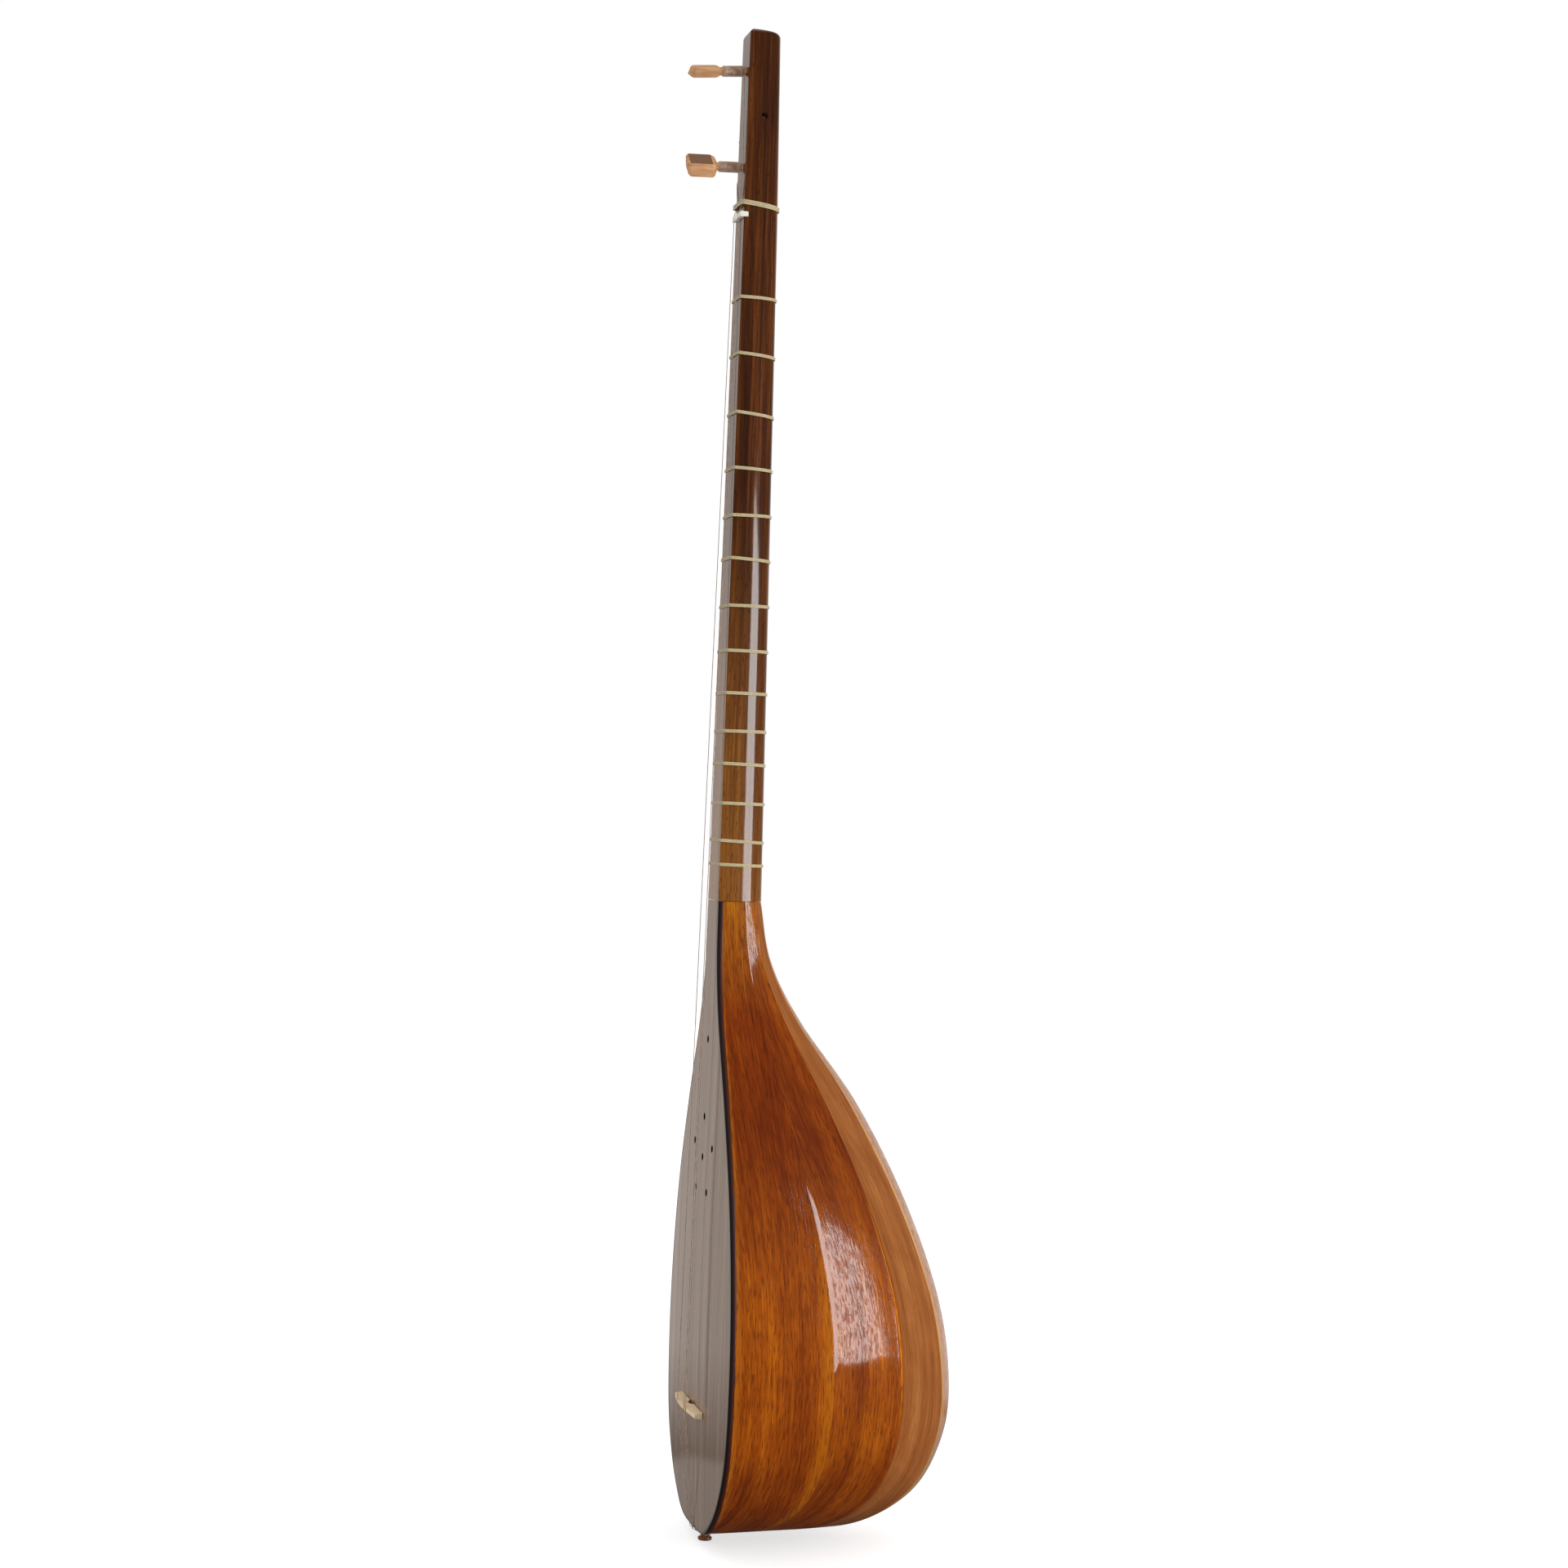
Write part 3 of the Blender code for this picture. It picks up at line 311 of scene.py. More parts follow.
def varnished_stave(name, stops, pore_colour, pores_from, lines, toning, shift):
    """Mulberry, planed and scraped, under oil varnish that is rubbed to a gloss: fine fibres in
    warm bands, and open pores that break up the mirror-like coat, except on the creases, where
    it lies thicker. A tone along the bowl is multiplied in by the given share: lightest at the
    neck, deepest at the shoulder, and darker towards the tail than in the middle."""
    made, tree, shader = new_material(name, Roughness=0.45, Specular_IOR_Level=0.05, Coat_Roughness=0.045,
                                      Coat_IOR=1.5)
    metres = add(tree, "UVMap", {}, uv_map="metres").outputs[0]
    shares = add(tree, "SeparateXYZ", {0: add(tree, "UVMap", {}, uv_map="shares").outputs[0]})
    across, along = shares.outputs[:2]
    # width and length in millimetres of each kind of streak, its detail and roughness
    sizes = {"bands": (8.0, 320.0, 2.0, 0.5), "fibres": (1.0, 26.0, 2.0, 0.6),
             "cloud": (30.0, 26.0, 2.0, 0.5), "pores": (0.55, 8.0, 1.0, 0.5),
             "flecks": (1.2, 3.5, 2.0, 0.6), "waves": (22.0, 60.0, 1.0, 0.5)}
    grain = {}
    for kind, (width, length, detail, roughness) in sizes.items():
        shift += 7.3
        grain[kind] = streaks(tree, metres, (width, length, 1000.0), detail, roughness, shift)
    tone = add(tree, "Mix", {0: 0.55, 2: grain["bands"], 3: grain["fibres"]})
    tone = add(tree, "Mix", {0: 0.2, 2: tone.outputs[0], 3: grain["cloud"]})
    colour = add(tree, "ValToRGB", {0: tone.outputs[0]}, stops=stops).outputs[0]
    tint = add(tree, "ValToRGB", {0: along}, stops=BOWL_TONES_ALONG)
    colour = add(tree, "Mix", {0: toning, 6: colour, 7: tint.outputs[0]}, data_type="RGBA",
                 blend_type="MULTIPLY").outputs[2]
    for line_colour, middle, half_width, amount, low, top in lines:
        off = add(tree, "Math", {0: across, 1: middle}, operation="SUBTRACT")
        off = add(tree, "Math", {0: off.outputs[0]}, operation="ABSOLUTE")
        line = add(tree, "MapRange", {"Value": off.outputs[0], "From Min": half_width,
                                      "From Max": half_width / 2, "To Max": amount})
        broken = add(tree, "MapRange", {"Value": grain["bands"], "From Min": 0.32, "From Max": 0.50})
        above = add(tree, "MapRange", {"Value": along, "From Min": low, "From Max": low + 0.08})
        below = add(tree, "MapRange", {"Value": along, "From Min": top, "From Max": top - 0.12})
        for limit in (broken, above, below):
            line = add(tree, "Math", {0: line.outputs[0], 1: limit.outputs[0]}, operation="MULTIPLY")
        colour = add(tree, "Mix", {0: line.outputs[0], 6: colour, 7: linear(line_colour)},
                     data_type="RGBA").outputs[2]
    pores = add(tree, "MapRange", {"Value": grain["pores"], "From Min": pores_from,
                                   "From Max": pores_from + 0.10, "To Max": 0.6}).outputs[0]
    colour = add(tree, "Mix", {0: pores, 6: colour, 7: linear(pore_colour)}, data_type="RGBA")
    off_middle = add(tree, "Math", {0: across, 1: 0.5}, operation="SUBTRACT")
    off_middle = add(tree, "Math", {0: off_middle.outputs[0]}, operation="ABSOLUTE")
    open_grain = add(tree, "MapRange", {"Value": off_middle.outputs[0], "From Min": 0.42, "From Max": 0.34})
    dull = add(tree, "MapRange", {"Value": grain["flecks"], "From Min": 0.47, "From Max": 0.60,
                                  "To Max": 0.75})
    dull = add(tree, "Math", {0: dull.outputs[0], 1: pores}, operation="MAXIMUM")
    dull = add(tree, "Math", {0: dull.outputs[0], 1: open_grain.outputs[0]}, operation="MULTIPLY")
    coat = add(tree, "Math", {0: 1.0, 1: dull.outputs[0]}, operation="SUBTRACT")
    relief = add(tree, "Math", {0: pores, 1: -0.5, 2: grain["fibres"]}, operation="MULTIPLY_ADD")
    strength = add(tree, "Math", {0: open_grain.outputs[0], 1: 0.10, 2: 0.03}, operation="MULTIPLY_ADD")
    fine = add(tree, "Bump", {"Strength": strength.outputs[0], "Distance": 0.0002,
                              "Height": relief.outputs[0]})
    slow = add(tree, "Bump", {"Strength": 0.10, "Distance": 0.001, "Height": grain["waves"],
                              "Normal": fine.outputs[0]})
    drive(tree, shader, Base_Color=colour.outputs[2], Coat_Weight=coat.outputs[0], Normal=slow.outputs[0],
          Coat_Normal=slow.outputs[0])
    return made


# Each line along a stave, the golden ones by its creases: colour, middle and half width across the stave,
# strength, lower and upper end
stave_kinds = (
    ("rib_orange", varnished_stave(
        "varnished_mulberry_side",
        ((0.34, "#763706"), (0.45, "#965008"), (0.54, "#aa610a"), (0.65, "#c67c12")),
        pore_colour="#4e2005", pores_from=0.54, toning=1.0, shift=0.0,
        lines=(("#ad5f10", 0.0, 0.16, 0.7, -0.1, 1.2), ("#ba690a", 0.94, 0.22, 0.6, -0.1, 0.66)))),
    ("rib_brown", varnished_stave(
        "varnished_mulberry_brown",
        ((0.34, "#793906"), (0.45, "#934e08"), (0.54, "#a55e0a"), (0.65, "#be7610")),
        pore_colour="#4a1d04", pores_from=0.54, toning=0.95, shift=20.0,
        lines=(("#d88214", 0.90, 0.03, 1.0, 0.40, 0.70),))),
    ("rib_tan", varnished_stave(
        "varnished_mulberry_tan",
        ((0.34, "#83481e"), (0.45, "#945727"), (0.55, "#a16231"), (0.66, "#b1753f")),
        pore_colour="#7a4318", pores_from=0.62, toning=0.1, shift=40.0,
        lines=(("#8c4a1c", 0.0, 0.12, 0.7, -0.1, 0.7), ("#dba55a", 1.0, 0.13, 1.0, -0.1, 0.95)))),
    ("rib_back", varnished_stave(
        "varnished_mulberry_back",
        ((0.34, "#8f5428"), (0.45, "#9d6235"), (0.55, "#a76d3d"), (0.66, "#b9824d")),
        pore_colour="#7e4a20", pores_from=0.62, toning=0.0, shift=60.0,
        lines=(("#dba55a", 0.0, 0.05, 0.9, -0.1, 0.95), ("#b4773e", 1.0, 0.10, 0.5, -0.1, 1.2)))),
)
ACROSS = 28
ALONG = 12 * LAST
EDGE_CROWDING = 0.115     # how far the points across a stave draw together at its edges
stave_shares = [j / ACROSS - EDGE_CROWDING * sin(2 * pi * j / ACROSS) for j in range(ACROSS + 1)]
along_steps = [LAST * i / ALONG for i in range(ALONG + 1)]

for side, word in ((1, "right"), (-1, "left")):
    for number, (slot, wood) in enumerate(stave_kinds):
        rows = stave_rows(number, stave_shares, along_steps)
        rows = [[Vector((side * max(point.x, 0.0), point.y, point.z)) for point in row] for row in rows]
        stave = grid("stave_%s_%d" % (word, number + 1), rows)
        clean(stave)
        apply_modifier(stave, "wall", "SOLIDIFY", thickness=STAVE_THICKNESS, offset=-1.0,
                       use_even_offset=True)
        finish_piece(stave, wood, "instrument", "rib_%s_%d" % (word, number + 1))


# The two blocks inside the bowl, one under the neck's tenon and one round the tail
# pin's shank. They are sawn from willow and left bare, and only a sound hole shows them.


def fine_grained(name, sizes, detail, stops, relief=0.0, depth=0.0001, **sockets):
    """A material with one pattern of fine lines, in its colour and as a slight relief."""
    made, tree, shader = new_material(name, **sockets)
    lines = streaks(tree, add(tree, "TexCoord", {}).outputs["Object"], sizes, detail)
    colour = add(tree, "ValToRGB", {0: lines}, stops=stops)
    drive(tree, shader, Base_Color=colour.outputs[0])
    if relief:
        bump = add(tree, "Bump", {"Strength": relief, "Distance": depth, "Height": lines})
        drive(tree, shader, Normal=bump.outputs[0])
    return made


# Bare sawn willow: pale and dull, with soft lines along the grain
willow = fine_grained("sawn_willow", (2.5, 2.5, 40.0), 3.0, ((0.35, "#9c7446"), (0.65, "#c09b6b")),
                      relief=0.3, depth=0.0002, Roughness=0.75, Specular_IOR_Level=0.3)
for node in ("neck_block", "tail_block"):
    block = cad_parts[node]
    block.data.materials.clear()
    block.data.materials.append(willow)


# The edge strip: a thin batten stained nearly black, bent round the soundboard's
# edge and glued. Towards the staves the stain lets a dark red through.

STRIP_WIDTH = 0.0016
STRIP_GAP = 0.00005       # between the strip and the staves behind it
STRIP_ROUNDING = 0.00035  # radius of its worn corners
SHORT_STEP = 0.02


def rim_point(step, inset):
    """The board's outline on the right, moved in by an inset, as across and height."""
    point = smooth_curve(rim, step)
    if step < 0.001:
        return 0.0, point[0] + inset
    if step > LAST - 0.001:
        return point[1] - inset, point[0]
    ahead = smooth_curve(rim, min(float(LAST), step + SHORT_STEP))
    ahead = ahead - smooth_curve(rim, max(0.0, step - SHORT_STEP))
    length = hypot(ahead[0], ahead[1])
    across = point[1] - inset * ahead[0] / length
    return max(0.0, across), min(point[0] + inset * ahead[1] / length, BOWL_HIGH)


# Stained wood under thin varnish: nearly black with a soft shine. The share runs round its section,
# from the front edge by the staves, and the red lies on its outer side.
stained, tree, shader = new_material("stained_strip", Roughness=0.35, Coat_Weight=0.6, Coat_Roughness=0.12)
place = add(tree, "SeparateXYZ", {0: add(tree, "UVMap", {}, uv_map="shares").outputs[0]})
colour = add(tree, "ValToRGB", {0: place.outputs[0]},
             stops=((0.19, "#191113"), (0.215, "#22100f"), (0.24, "#4c1a12"), (0.80, "#191113")))
drive(tree, shader, Base_Color=colour.outputs[0])

near = STRIP_ROUNDING
far = STRIP_WIDTH - STRIP_ROUNDING
deep = STRIP_DEPTH - STRIP_GAP - STRIP_ROUNDING
section = []              # inset and depth behind the front, round the strip from its outer front corner
corners = ((near, near, 270), (near, deep, 180), (far, deep, 90), (far, near, 0))
for corner_inset, corner_depth, start in corners:
    for i in range(4):
        angle = radians(start - 30 * i)
        section.append((corner_inset + near * cos(angle), corner_depth + near * sin(angle)))
section.append(section[0])
way_round = [(1, step) for step in reversed(along_steps)] + [(-1, step) for step in along_steps[1:]]
rows = []
for side, step in way_round:
    row = []
    for inset, behind in section:
        across, height = rim_point(step, inset)
        row.append(Vector((side * across, rim_y(height) + behind, height)))
    rows.append(row)
strip = grid("edge_strip", rows)
clean(strip, cap=True)
finish_piece(strip, stained, "instrument", "edge_binding")


# The soundboard: a thin mulberry plate, slightly crowned, let in flush inside the
# strip. Seven small round sound holes are bored through it, and their walls are
# painted near-black as the shade that falls inside the holes.

BOARD_THICKNESS = 0.003
BOARD_CROWN = 0.0025
BOARD_GAP = 0.00003
BOARD_COLUMNS = 40
BOARD_START = 0.15        # step of the outline where the board's blunt lower end lies
HOLE_R = 0.0022
HOLE_RING_Z = 0.2275
HOLE_RING_R = 0.024
RING_HOLES = 5
LONE_HOLE_RISE = 0.070    # from the ring's middle hole to the one above the ring


def crown(across, half_width):
    """How far the board's middle stands in front of its edge."""
    return BOARD_CROWN * (half_width / HALF_WIDTH) ** 2 * (1.0 - (across / half_width) ** 2)


def cut(piece, tool, operation="DIFFERENCE"):
    """Cuts a piece with a tool, or joins the two, and puts the tool away."""
    apply_modifier(piece, "cut", "BOOLEAN", object=tool, operation=operation, solver="EXACT")
    bpy.data.objects.remove(tool)


# Mulberry under a thin clear finish: grey-brown fibres and short dark pores, drawn wide enough to
# show, and at a flat angle a cool sheen over all of it
satin, tree, shader = new_material("satin_mulberry_board", Roughness=0.5, Specular_IOR_Level=0.1,
                                   Coat_Weight=0.8, Coat_Roughness=0.06, Coat_IOR=1.5)
place = add(tree, "TexCoord", {}).outputs["Object"]
bands = streaks(tree, place, (7.0, 33.3, 500.0), 2.0)
fibres = streaks(tree, place, (0.9, 33.3, 60.0), 3.0)
pores = streaks(tree, place, (0.35, 33.3, 6.0), 1.0)
tone = add(tree, "Mix", {0: 0.5, 2: bands, 3: fibres})
colour = add(tree, "ValToRGB", {0: tone.outputs[0]},
             stops=((0.34, "#715b4a"), (0.5, "#88705f"), (0.66, "#9d8472")))
pores = add(tree, "MapRange", {"Value": pores, "From Min": 0.60, "From Max": 0.70, "To Max": 0.4})
colour = add(tree, "Mix", {0: pores.outputs[0], 6: colour.outputs[0], 7: linear("#4a3628")}, data_type="RGBA")
# Painted shade: the sound holes' walls are coloured near-black, as shade inside the bowl
burnt = add(tree, "Attribute", {}, attribute_name="burnt").outputs["Fac"]
colour = add(tree, "Mix", {0: burnt, 6: colour.outputs[2], 7: linear("#140d09")}, data_type="RGBA")
bump = add(tree, "Bump", {"Strength": 0.08, "Distance": 0.0002, "Height": tone.outputs[0]})
drive(tree, shader, Base_Color=colour.outputs[2], Normal=bump.outputs[0], Coat_Normal=bump.outputs[0])

rows = []
for step in [BOARD_START] + along_steps[3:]:
    half_width, height = rim_point(step, STRIP_WIDTH + BOARD_GAP)
    row = []
    for i in range(BOARD_COLUMNS + 1):
        across = half_width * (2 * i / BOARD_COLUMNS - 1)
        row.append(Vector((across, rim_y(height) - crown(across, half_width), height)))
    rows.append(row)
board = grid("soundboard_plate", rows)
clean(board)
if board.data.polygons[0].normal.y > 0:
    board.data.flip_normals()
apply_modifier(board, "plate", "SOLIDIFY", thickness=BOARD_THICKNESS, offset=-1.0)
hole_places = [(0.0, HOLE_RING_Z), (0.0, HOLE_RING_Z + LONE_HOLE_RISE)]
for i in range(RING_HOLES):
    angle = 2 * pi * i / RING_HOLES
    hole_places.append((HOLE_RING_R * sin(angle), HOLE_RING_Z + HOLE_RING_R * cos(angle)))
for x, z in hole_places:
    bpy.ops.mesh.primitive_cylinder_add(vertices=48, radius=HOLE_R, depth=0.02, location=(x, FACE_Y, z),
                                        rotation=(pi / 2, 0, 0))
    cut(board, named("hole_cutter"))
# Marks the faces of the holes' walls, which get the painted shade
burnt = board.data.attributes.new("burnt", "FLOAT", "FACE")
for face in board.data.polygons:
    in_hole = abs(face.normal.y) < 0.5 and abs(face.center.x) < HOLE_RING_R + HOLE_R
    burnt.data[face.index].value = float(in_hole)
finish_piece(board, satin, "instrument", "soundboard")


# The neck and head: one length of walnut, flat in front and round behind, varnished
# dark above and lighter towards the bowl, with shade painted along its back in the
# lower half. Its tenon is glued into the neck block.

NUT_Z = 0.7885
TOP_Z = 0.89999
NECK_WIDTHS = (2 * NECK_HALF_JOINT, 0.0214, 0.0190)         # at the joint, the nut and the top
NECK_DEPTHS = (NECK_DEPTH_JOINT, 0.0229, 0.0204)
HEAD_ROUNDING = 0.0035
NECK_EDGE = 0.0005
NECK_POINTS = 64
NECK_RINGS = 34
HEAD_RINGS = 10
ROUNDING_RINGS = 6
TENON = (0.004, 0.006, 0.020)               # half its width and depth, and its length
NUT_THICKNESS = 0.0034
NUT_SLOT_DEPTH = 0.003
NUT_FIT = 0.00005
PEG_SHAFT_R = 0.0025
PEG_TIP_R = 0.0020
BORE_CLEARANCE = 0.0001
FRONT_PEGS = (("upper", 0.8758, 5.9), ("lower", 0.8180, 2.5))    # name, height and lean in degrees
SIDE_PEG_Z = 0.8473
SIDE_PEG_LEAN = 6.0
REAMER_REACH = 0.2        # how far the reamer runs out of the wood at both ends, as a share of its depth


def along_neck(z, at_joint, at_nut, at_top):
    if z < NUT_Z:
        return mix(at_joint, at_nut, (z - JOINT_Z) / (NUT_Z - JOINT_Z))
    return mix(at_nut, at_top, (z - NUT_Z) / (TOP_Z - NUT_Z))


def neck_half(z):
    return along_neck(z, *NECK_WIDTHS) / 2


def neck_depth(z):
    return along_neck(z, *NECK_DEPTHS)


def neck_outline(half_width, depth, points):
    """The neck's D outline as (across, behind the face), from the face's right edge round to its left."""
    outline = []
    for i in range(points + 1):
        c = cos(pi * i / points)
        s = max(0.0, sin(pi * i / points))
        across = copysign(abs(c) ** NECK_SQUARENESS, c) * half_width
        outline.append((across, NECK_EDGE + (depth - NECK_EDGE) * s ** NECK_SQUARENESS))
    return outline


def draw_up(rise, across, behind, fixed_y=0.0):
    """Extrudes the selected top face, then sizes it across and behind, about a place that stays."""
    bpy.ops.mesh.extrude_region_move(TRANSFORM_OT_translate={"value": (0, 0, rise)})
    bpy.ops.transform.resize(value=(across, behind, 1.0), center_override=(0, fixed_y, 0))


# Walnut under clear varnish: dark brown bands and fine fibres with darker pores, and a long, slightly
# soft reflection down its round back
walnut, tree, shader = new_material("varnished_walnut", Roughness=0.4, Specular_IOR_Level=0.05,
                                    Coat_Weight=1.0, Coat_Roughness=0.08, Coat_IOR=1.5)
place = add(tree, "TexCoord", {}).outputs["Object"]
bands = streaks(tree, place, (4.5, 4.5, 260.0), 2.0)
fibres = streaks(tree, place, (0.9, 0.9, 40.0), 3.0)
pores = streaks(tree, place, (0.55, 0.55, 5.0), 1.0)
tone = add(tree, "Mix", {0: 0.45, 2: bands, 3: fibres})
dark = add(tree, "ValToRGB", {0: tone.outputs[0]},
           stops=((0.36, "#2e1407"), (0.5, "#49230b"), (0.64, "#6a3811")))
light = add(tree, "ValToRGB", {0: tone.outputs[0]},
            stops=((0.36, "#6d3e19"), (0.5, "#85511d"), (0.64, "#9c6926")))
spot = add(tree, "SeparateXYZ", {0: place})
lower = add(tree, "MapRange", {"Value": spot.outputs[2], "From Min": 0.62, "From Max": 0.40})
colour = add(tree, "Mix", {0: lower.outputs[0], 6: dark.outputs[0], 7: light.outputs[0]}, data_type="RGBA")
# Painted shade: behind the highlight the neck's back is darkened, most in its lower half
back_shade = add(tree, "MapRange", {"Value": spot.outputs[1], "From Min": FACE_Y + 0.012,
                               "From Max": FACE_Y + 0.018})
tint = add(tree, "ValToRGB", {0: spot.outputs[2]},
           stops=((0.385, "#ece6ee"), (0.43, "#cbbcd3"), (0.54, "#cbbcd3"), (0.61, "#ffffff")))
colour = add(tree, "Mix", {0: back_shade.outputs[0], 6: colour.outputs[2], 7: tint.outputs[0]}, data_type="RGBA",
             blend_type="MULTIPLY")
pores = add(tree, "MapRange", {"Value": pores, "From Min": 0.62, "From Max": 0.7, "To Max": 0.7})
colour = add(tree, "Mix", {0: pores.outputs[0], 6: colour.outputs[2], 7: linear("#2c1208")}, data_type="RGBA")
bump = add(tree, "Bump", {"Strength": 0.10, "Distance": 0.0002, "Height": tone.outputs[0]})
drive(tree, shader, Base_Color=colour.outputs[2], Normal=bump.outputs[0], Coat_Normal=bump.outputs[0])

bpy.ops.mesh.primitive_circle_add(vertices=NECK_POINTS, radius=1.0, fill_type="NGON")
neck = named("neck_and_head")
outline = neck_outline(neck_half(JOINT_Z), neck_depth(JOINT_Z), NECK_POINTS - 3)
edge_x = neck_half(JOINT_Z) - NECK_EDGE
outline += [(-edge_x, 0.0), (edge_x, 0.0)]
for vertex, (across, behind) in zip(neck.data.vertices, outline):
    vertex.co = (across, FACE_Y + behind, JOINT_Z)
start_edit(neck)
level = JOINT_Z
heights = [JOINT_Z + (NUT_Z - JOINT_Z) * i / NECK_RINGS for i in range(1, NECK_RINGS + 1)]
heights += [NUT_Z + (TOP_Z - HEAD_ROUNDING - NUT_Z) * i / HEAD_RINGS for i in range(1, HEAD_RINGS + 1)]
for z in heights:
    draw_up(z - level, neck_half(z) / neck_half(level), neck_depth(z) / neck_depth(level), FACE_Y)
    level = z
half_x = neck_half(level)
half_y = neck_depth(level) / 2
inset = 0.0
for i in range(1, ROUNDING_RINGS + 1):
    angle = pi / 2 * i / ROUNDING_RINGS
    angle_before = pi / 2 * (i - 1) / ROUNDING_RINGS
    next_inset = HEAD_ROUNDING * (1.0 - cos(angle))
    draw_up(HEAD_ROUNDING * (sin(angle) - sin(angle_before)), (half_x - next_inset) / (half_x - inset),
            (half_y - next_inset) / (half_y - inset), FACE_Y + half_y)
    inset = next_inset
bpy.ops.object.mode_set(mode="OBJECT")
clean(neck, cap=True)


def cube_between(name, low, high):
    middle = [(a + b) / 2 for a, b in zip(low, high)]
    size = [b - a for a, b in zip(low, high)]
    bpy.ops.mesh.primitive_cube_add(size=1.0, location=middle, scale=size)
    return named(name)


tenon_x, tenon_y, length = TENON
middle = FACE_Y + NECK_DEPTH_JOINT / 2
cut(neck, cube_between("tenon", (-tenon_x, middle - tenon_y, JOINT_Z - length),
                       (tenon_x, middle + tenon_y, JOINT_Z + length / 2)), "UNION")
slot_half = NUT_THICKNESS / 2 + NUT_FIT
cut(neck, cube_between("nut_slot", (-0.02, FACE_Y - NUT_SLOT_DEPTH, NUT_Z - slot_half),
                       (0.02, FACE_Y + NUT_SLOT_DEPTH, NUT_Z + slot_half)))


def peg_frame(place, out, side_way):
    """A peg's own frame: Z runs out to its head, X to where its string leaves it."""
    out = Vector(out).normalized()
    x = Vector(side_way)
    x = (x - out * x.dot(out)).normalized()
    turn = Matrix((x, out.cross(x), out)).transposed().to_4x4()
    return Matrix.Translation(place) @ turn


# Each peg's frame where its axis leaves the neck, and the depth of wood behind that point
pegs = {}
for name, z, lean in FRONT_PEGS:
    out = (0.0, -cos(radians(lean)), -sin(radians(lean)))
    pegs[name] = (peg_frame(Vector((0.0, FACE_Y, z)), out, (1.0, 0.0, 0.0)), neck_depth(z))
lean = radians(SIDE_PEG_LEAN)
side_half = neck_half(SIDE_PEG_Z)
side_place = Vector((-side_half, FACE_Y + neck_depth(SIDE_PEG_Z) / 2, SIDE_PEG_Z - side_half * sin(lean)))
pegs["side"] = (peg_frame(side_place, (-cos(lean), 0.0, -sin(lean)), (0.0, -1.0, 0.0)), 2 * side_half)

for name, (seat, wood_depth) in pegs.items():
    taper = PEG_SHAFT_R - PEG_TIP_R
    bpy.ops.mesh.primitive_cone_add(vertices=48, radius1=PEG_TIP_R - taper * REAMER_REACH + BORE_CLEARANCE,
                                    radius2=PEG_SHAFT_R + taper * REAMER_REACH + BORE_CLEARANCE,
                                    depth=(1.0 + 2 * REAMER_REACH) * wood_depth,
                                    location=(0, 0, -0.5 * wood_depth))
    reamer = named("reamer")
    settle(reamer)
    reamer.data.transform(seat)
    cut(neck, reamer)
finish_piece(neck, walnut, "instrument", "neck")


# The tail pin: turned from dark wood, with a round foot, a groove for the string
# loops and a flange that stands against the bowl. Its shank is pushed into the block.

PIN_FOOT_R = 0.0042
PIN_FOOT_ROUNDING = 0.0007
PIN_GROOVE_R = 0.0026
PIN_FLANGE_R = 0.0039
PIN_SHANK_R = 0.0023

# Oiled wood from the lathe: dark brown fine lines, and a soft shine
dark_wood = fine_grained("turned_dark_wood", (1.111, 1.111, 8.333), 3.0,
                         ((0.35, "#6a3e24"), (0.65, "#9c6844")), relief=0.15, Roughness=0.35,
                         Coat_Weight=0.5, Coat_Roughness=0.15)


def turned(name, profile, points):
    """A disc of so many points, drawn up along the axis and sized at each step, as on a lathe."""
    (radius, height), steps = profile[0], profile[1:]
    bpy.ops.mesh.primitive_circle_add(vertices=points, radius=radius, fill_type="NGON",
                                      location=(0, 0, height))
    made = named(name)
    settle(made)
    start_edit(made)
    for next_radius, next_height in steps:
        draw_up(next_height - height, next_radius / radius, next_radius / radius)
        radius, height = next_radius, next_height
    bpy.ops.object.mode_set(mode="OBJECT")
    clean(made, cap=True)
    return made


pin_profile = []          # radius and height: the foot, the groove, the flange and the shank
for i in range(5):
    angle = pi / 2 * i / 4
    pin_profile.append((PIN_FOOT_R - PIN_FOOT_ROUNDING * (1 - sin(angle)),
                        PIN_FOOT_ROUNDING * (1 - cos(angle))))
pin_profile += [(PIN_FOOT_R, 0.0015), (0.0041, 0.0018), (0.0031, 0.0021), (PIN_GROOVE_R, 0.0026),
                (PIN_GROOVE_R, 0.0060), (0.0030, 0.0066), (0.0038, 0.0069), (PIN_FLANGE_R, 0.0071),
                (PIN_FLANGE_R, 0.0076), (PIN_SHANK_R, 0.0077), (PIN_SHANK_R, 0.0268), (0.0019, 0.0277)]
finish_piece(turned("tail_pin_turned", pin_profile, 48), dark_wood, "instrument", "tail_pin")


# The nut: a slip of bone set in a slot across the neck, so that its end grain shows
# on the neck's side. Its edges are rounded over, and a fine groove holds each string.

STRING_R = 0.0002
STRING_SINK = 0.00015     # how deep a string lies in a groove
GROOVE_ROOM = 0.00012
NUT_HEIGHT = 0.0022
NUT_SET_IN = 0.0002       # how far each end stands in from the neck's side
NUT_ROUNDING = 0.0005
string_at_nut = {"side": -0.0065, "lower": 0.0036, "upper": 0.0066}

# Polished bone: ivory with faint flecks along it, and light that sinks in a little way
bone = fine_grained("polished_bone", (4.0, 0.5556, 0.5556), 3.0, ((0.35, "#ebe4d4"), (0.60, "#f6f1e7")),
                    Roughness=0.35, Subsurface_Weight=0.12, Subsurface_Scale=0.002,
                    Subsurface_Radius=(1.0, 0.8, 0.6))

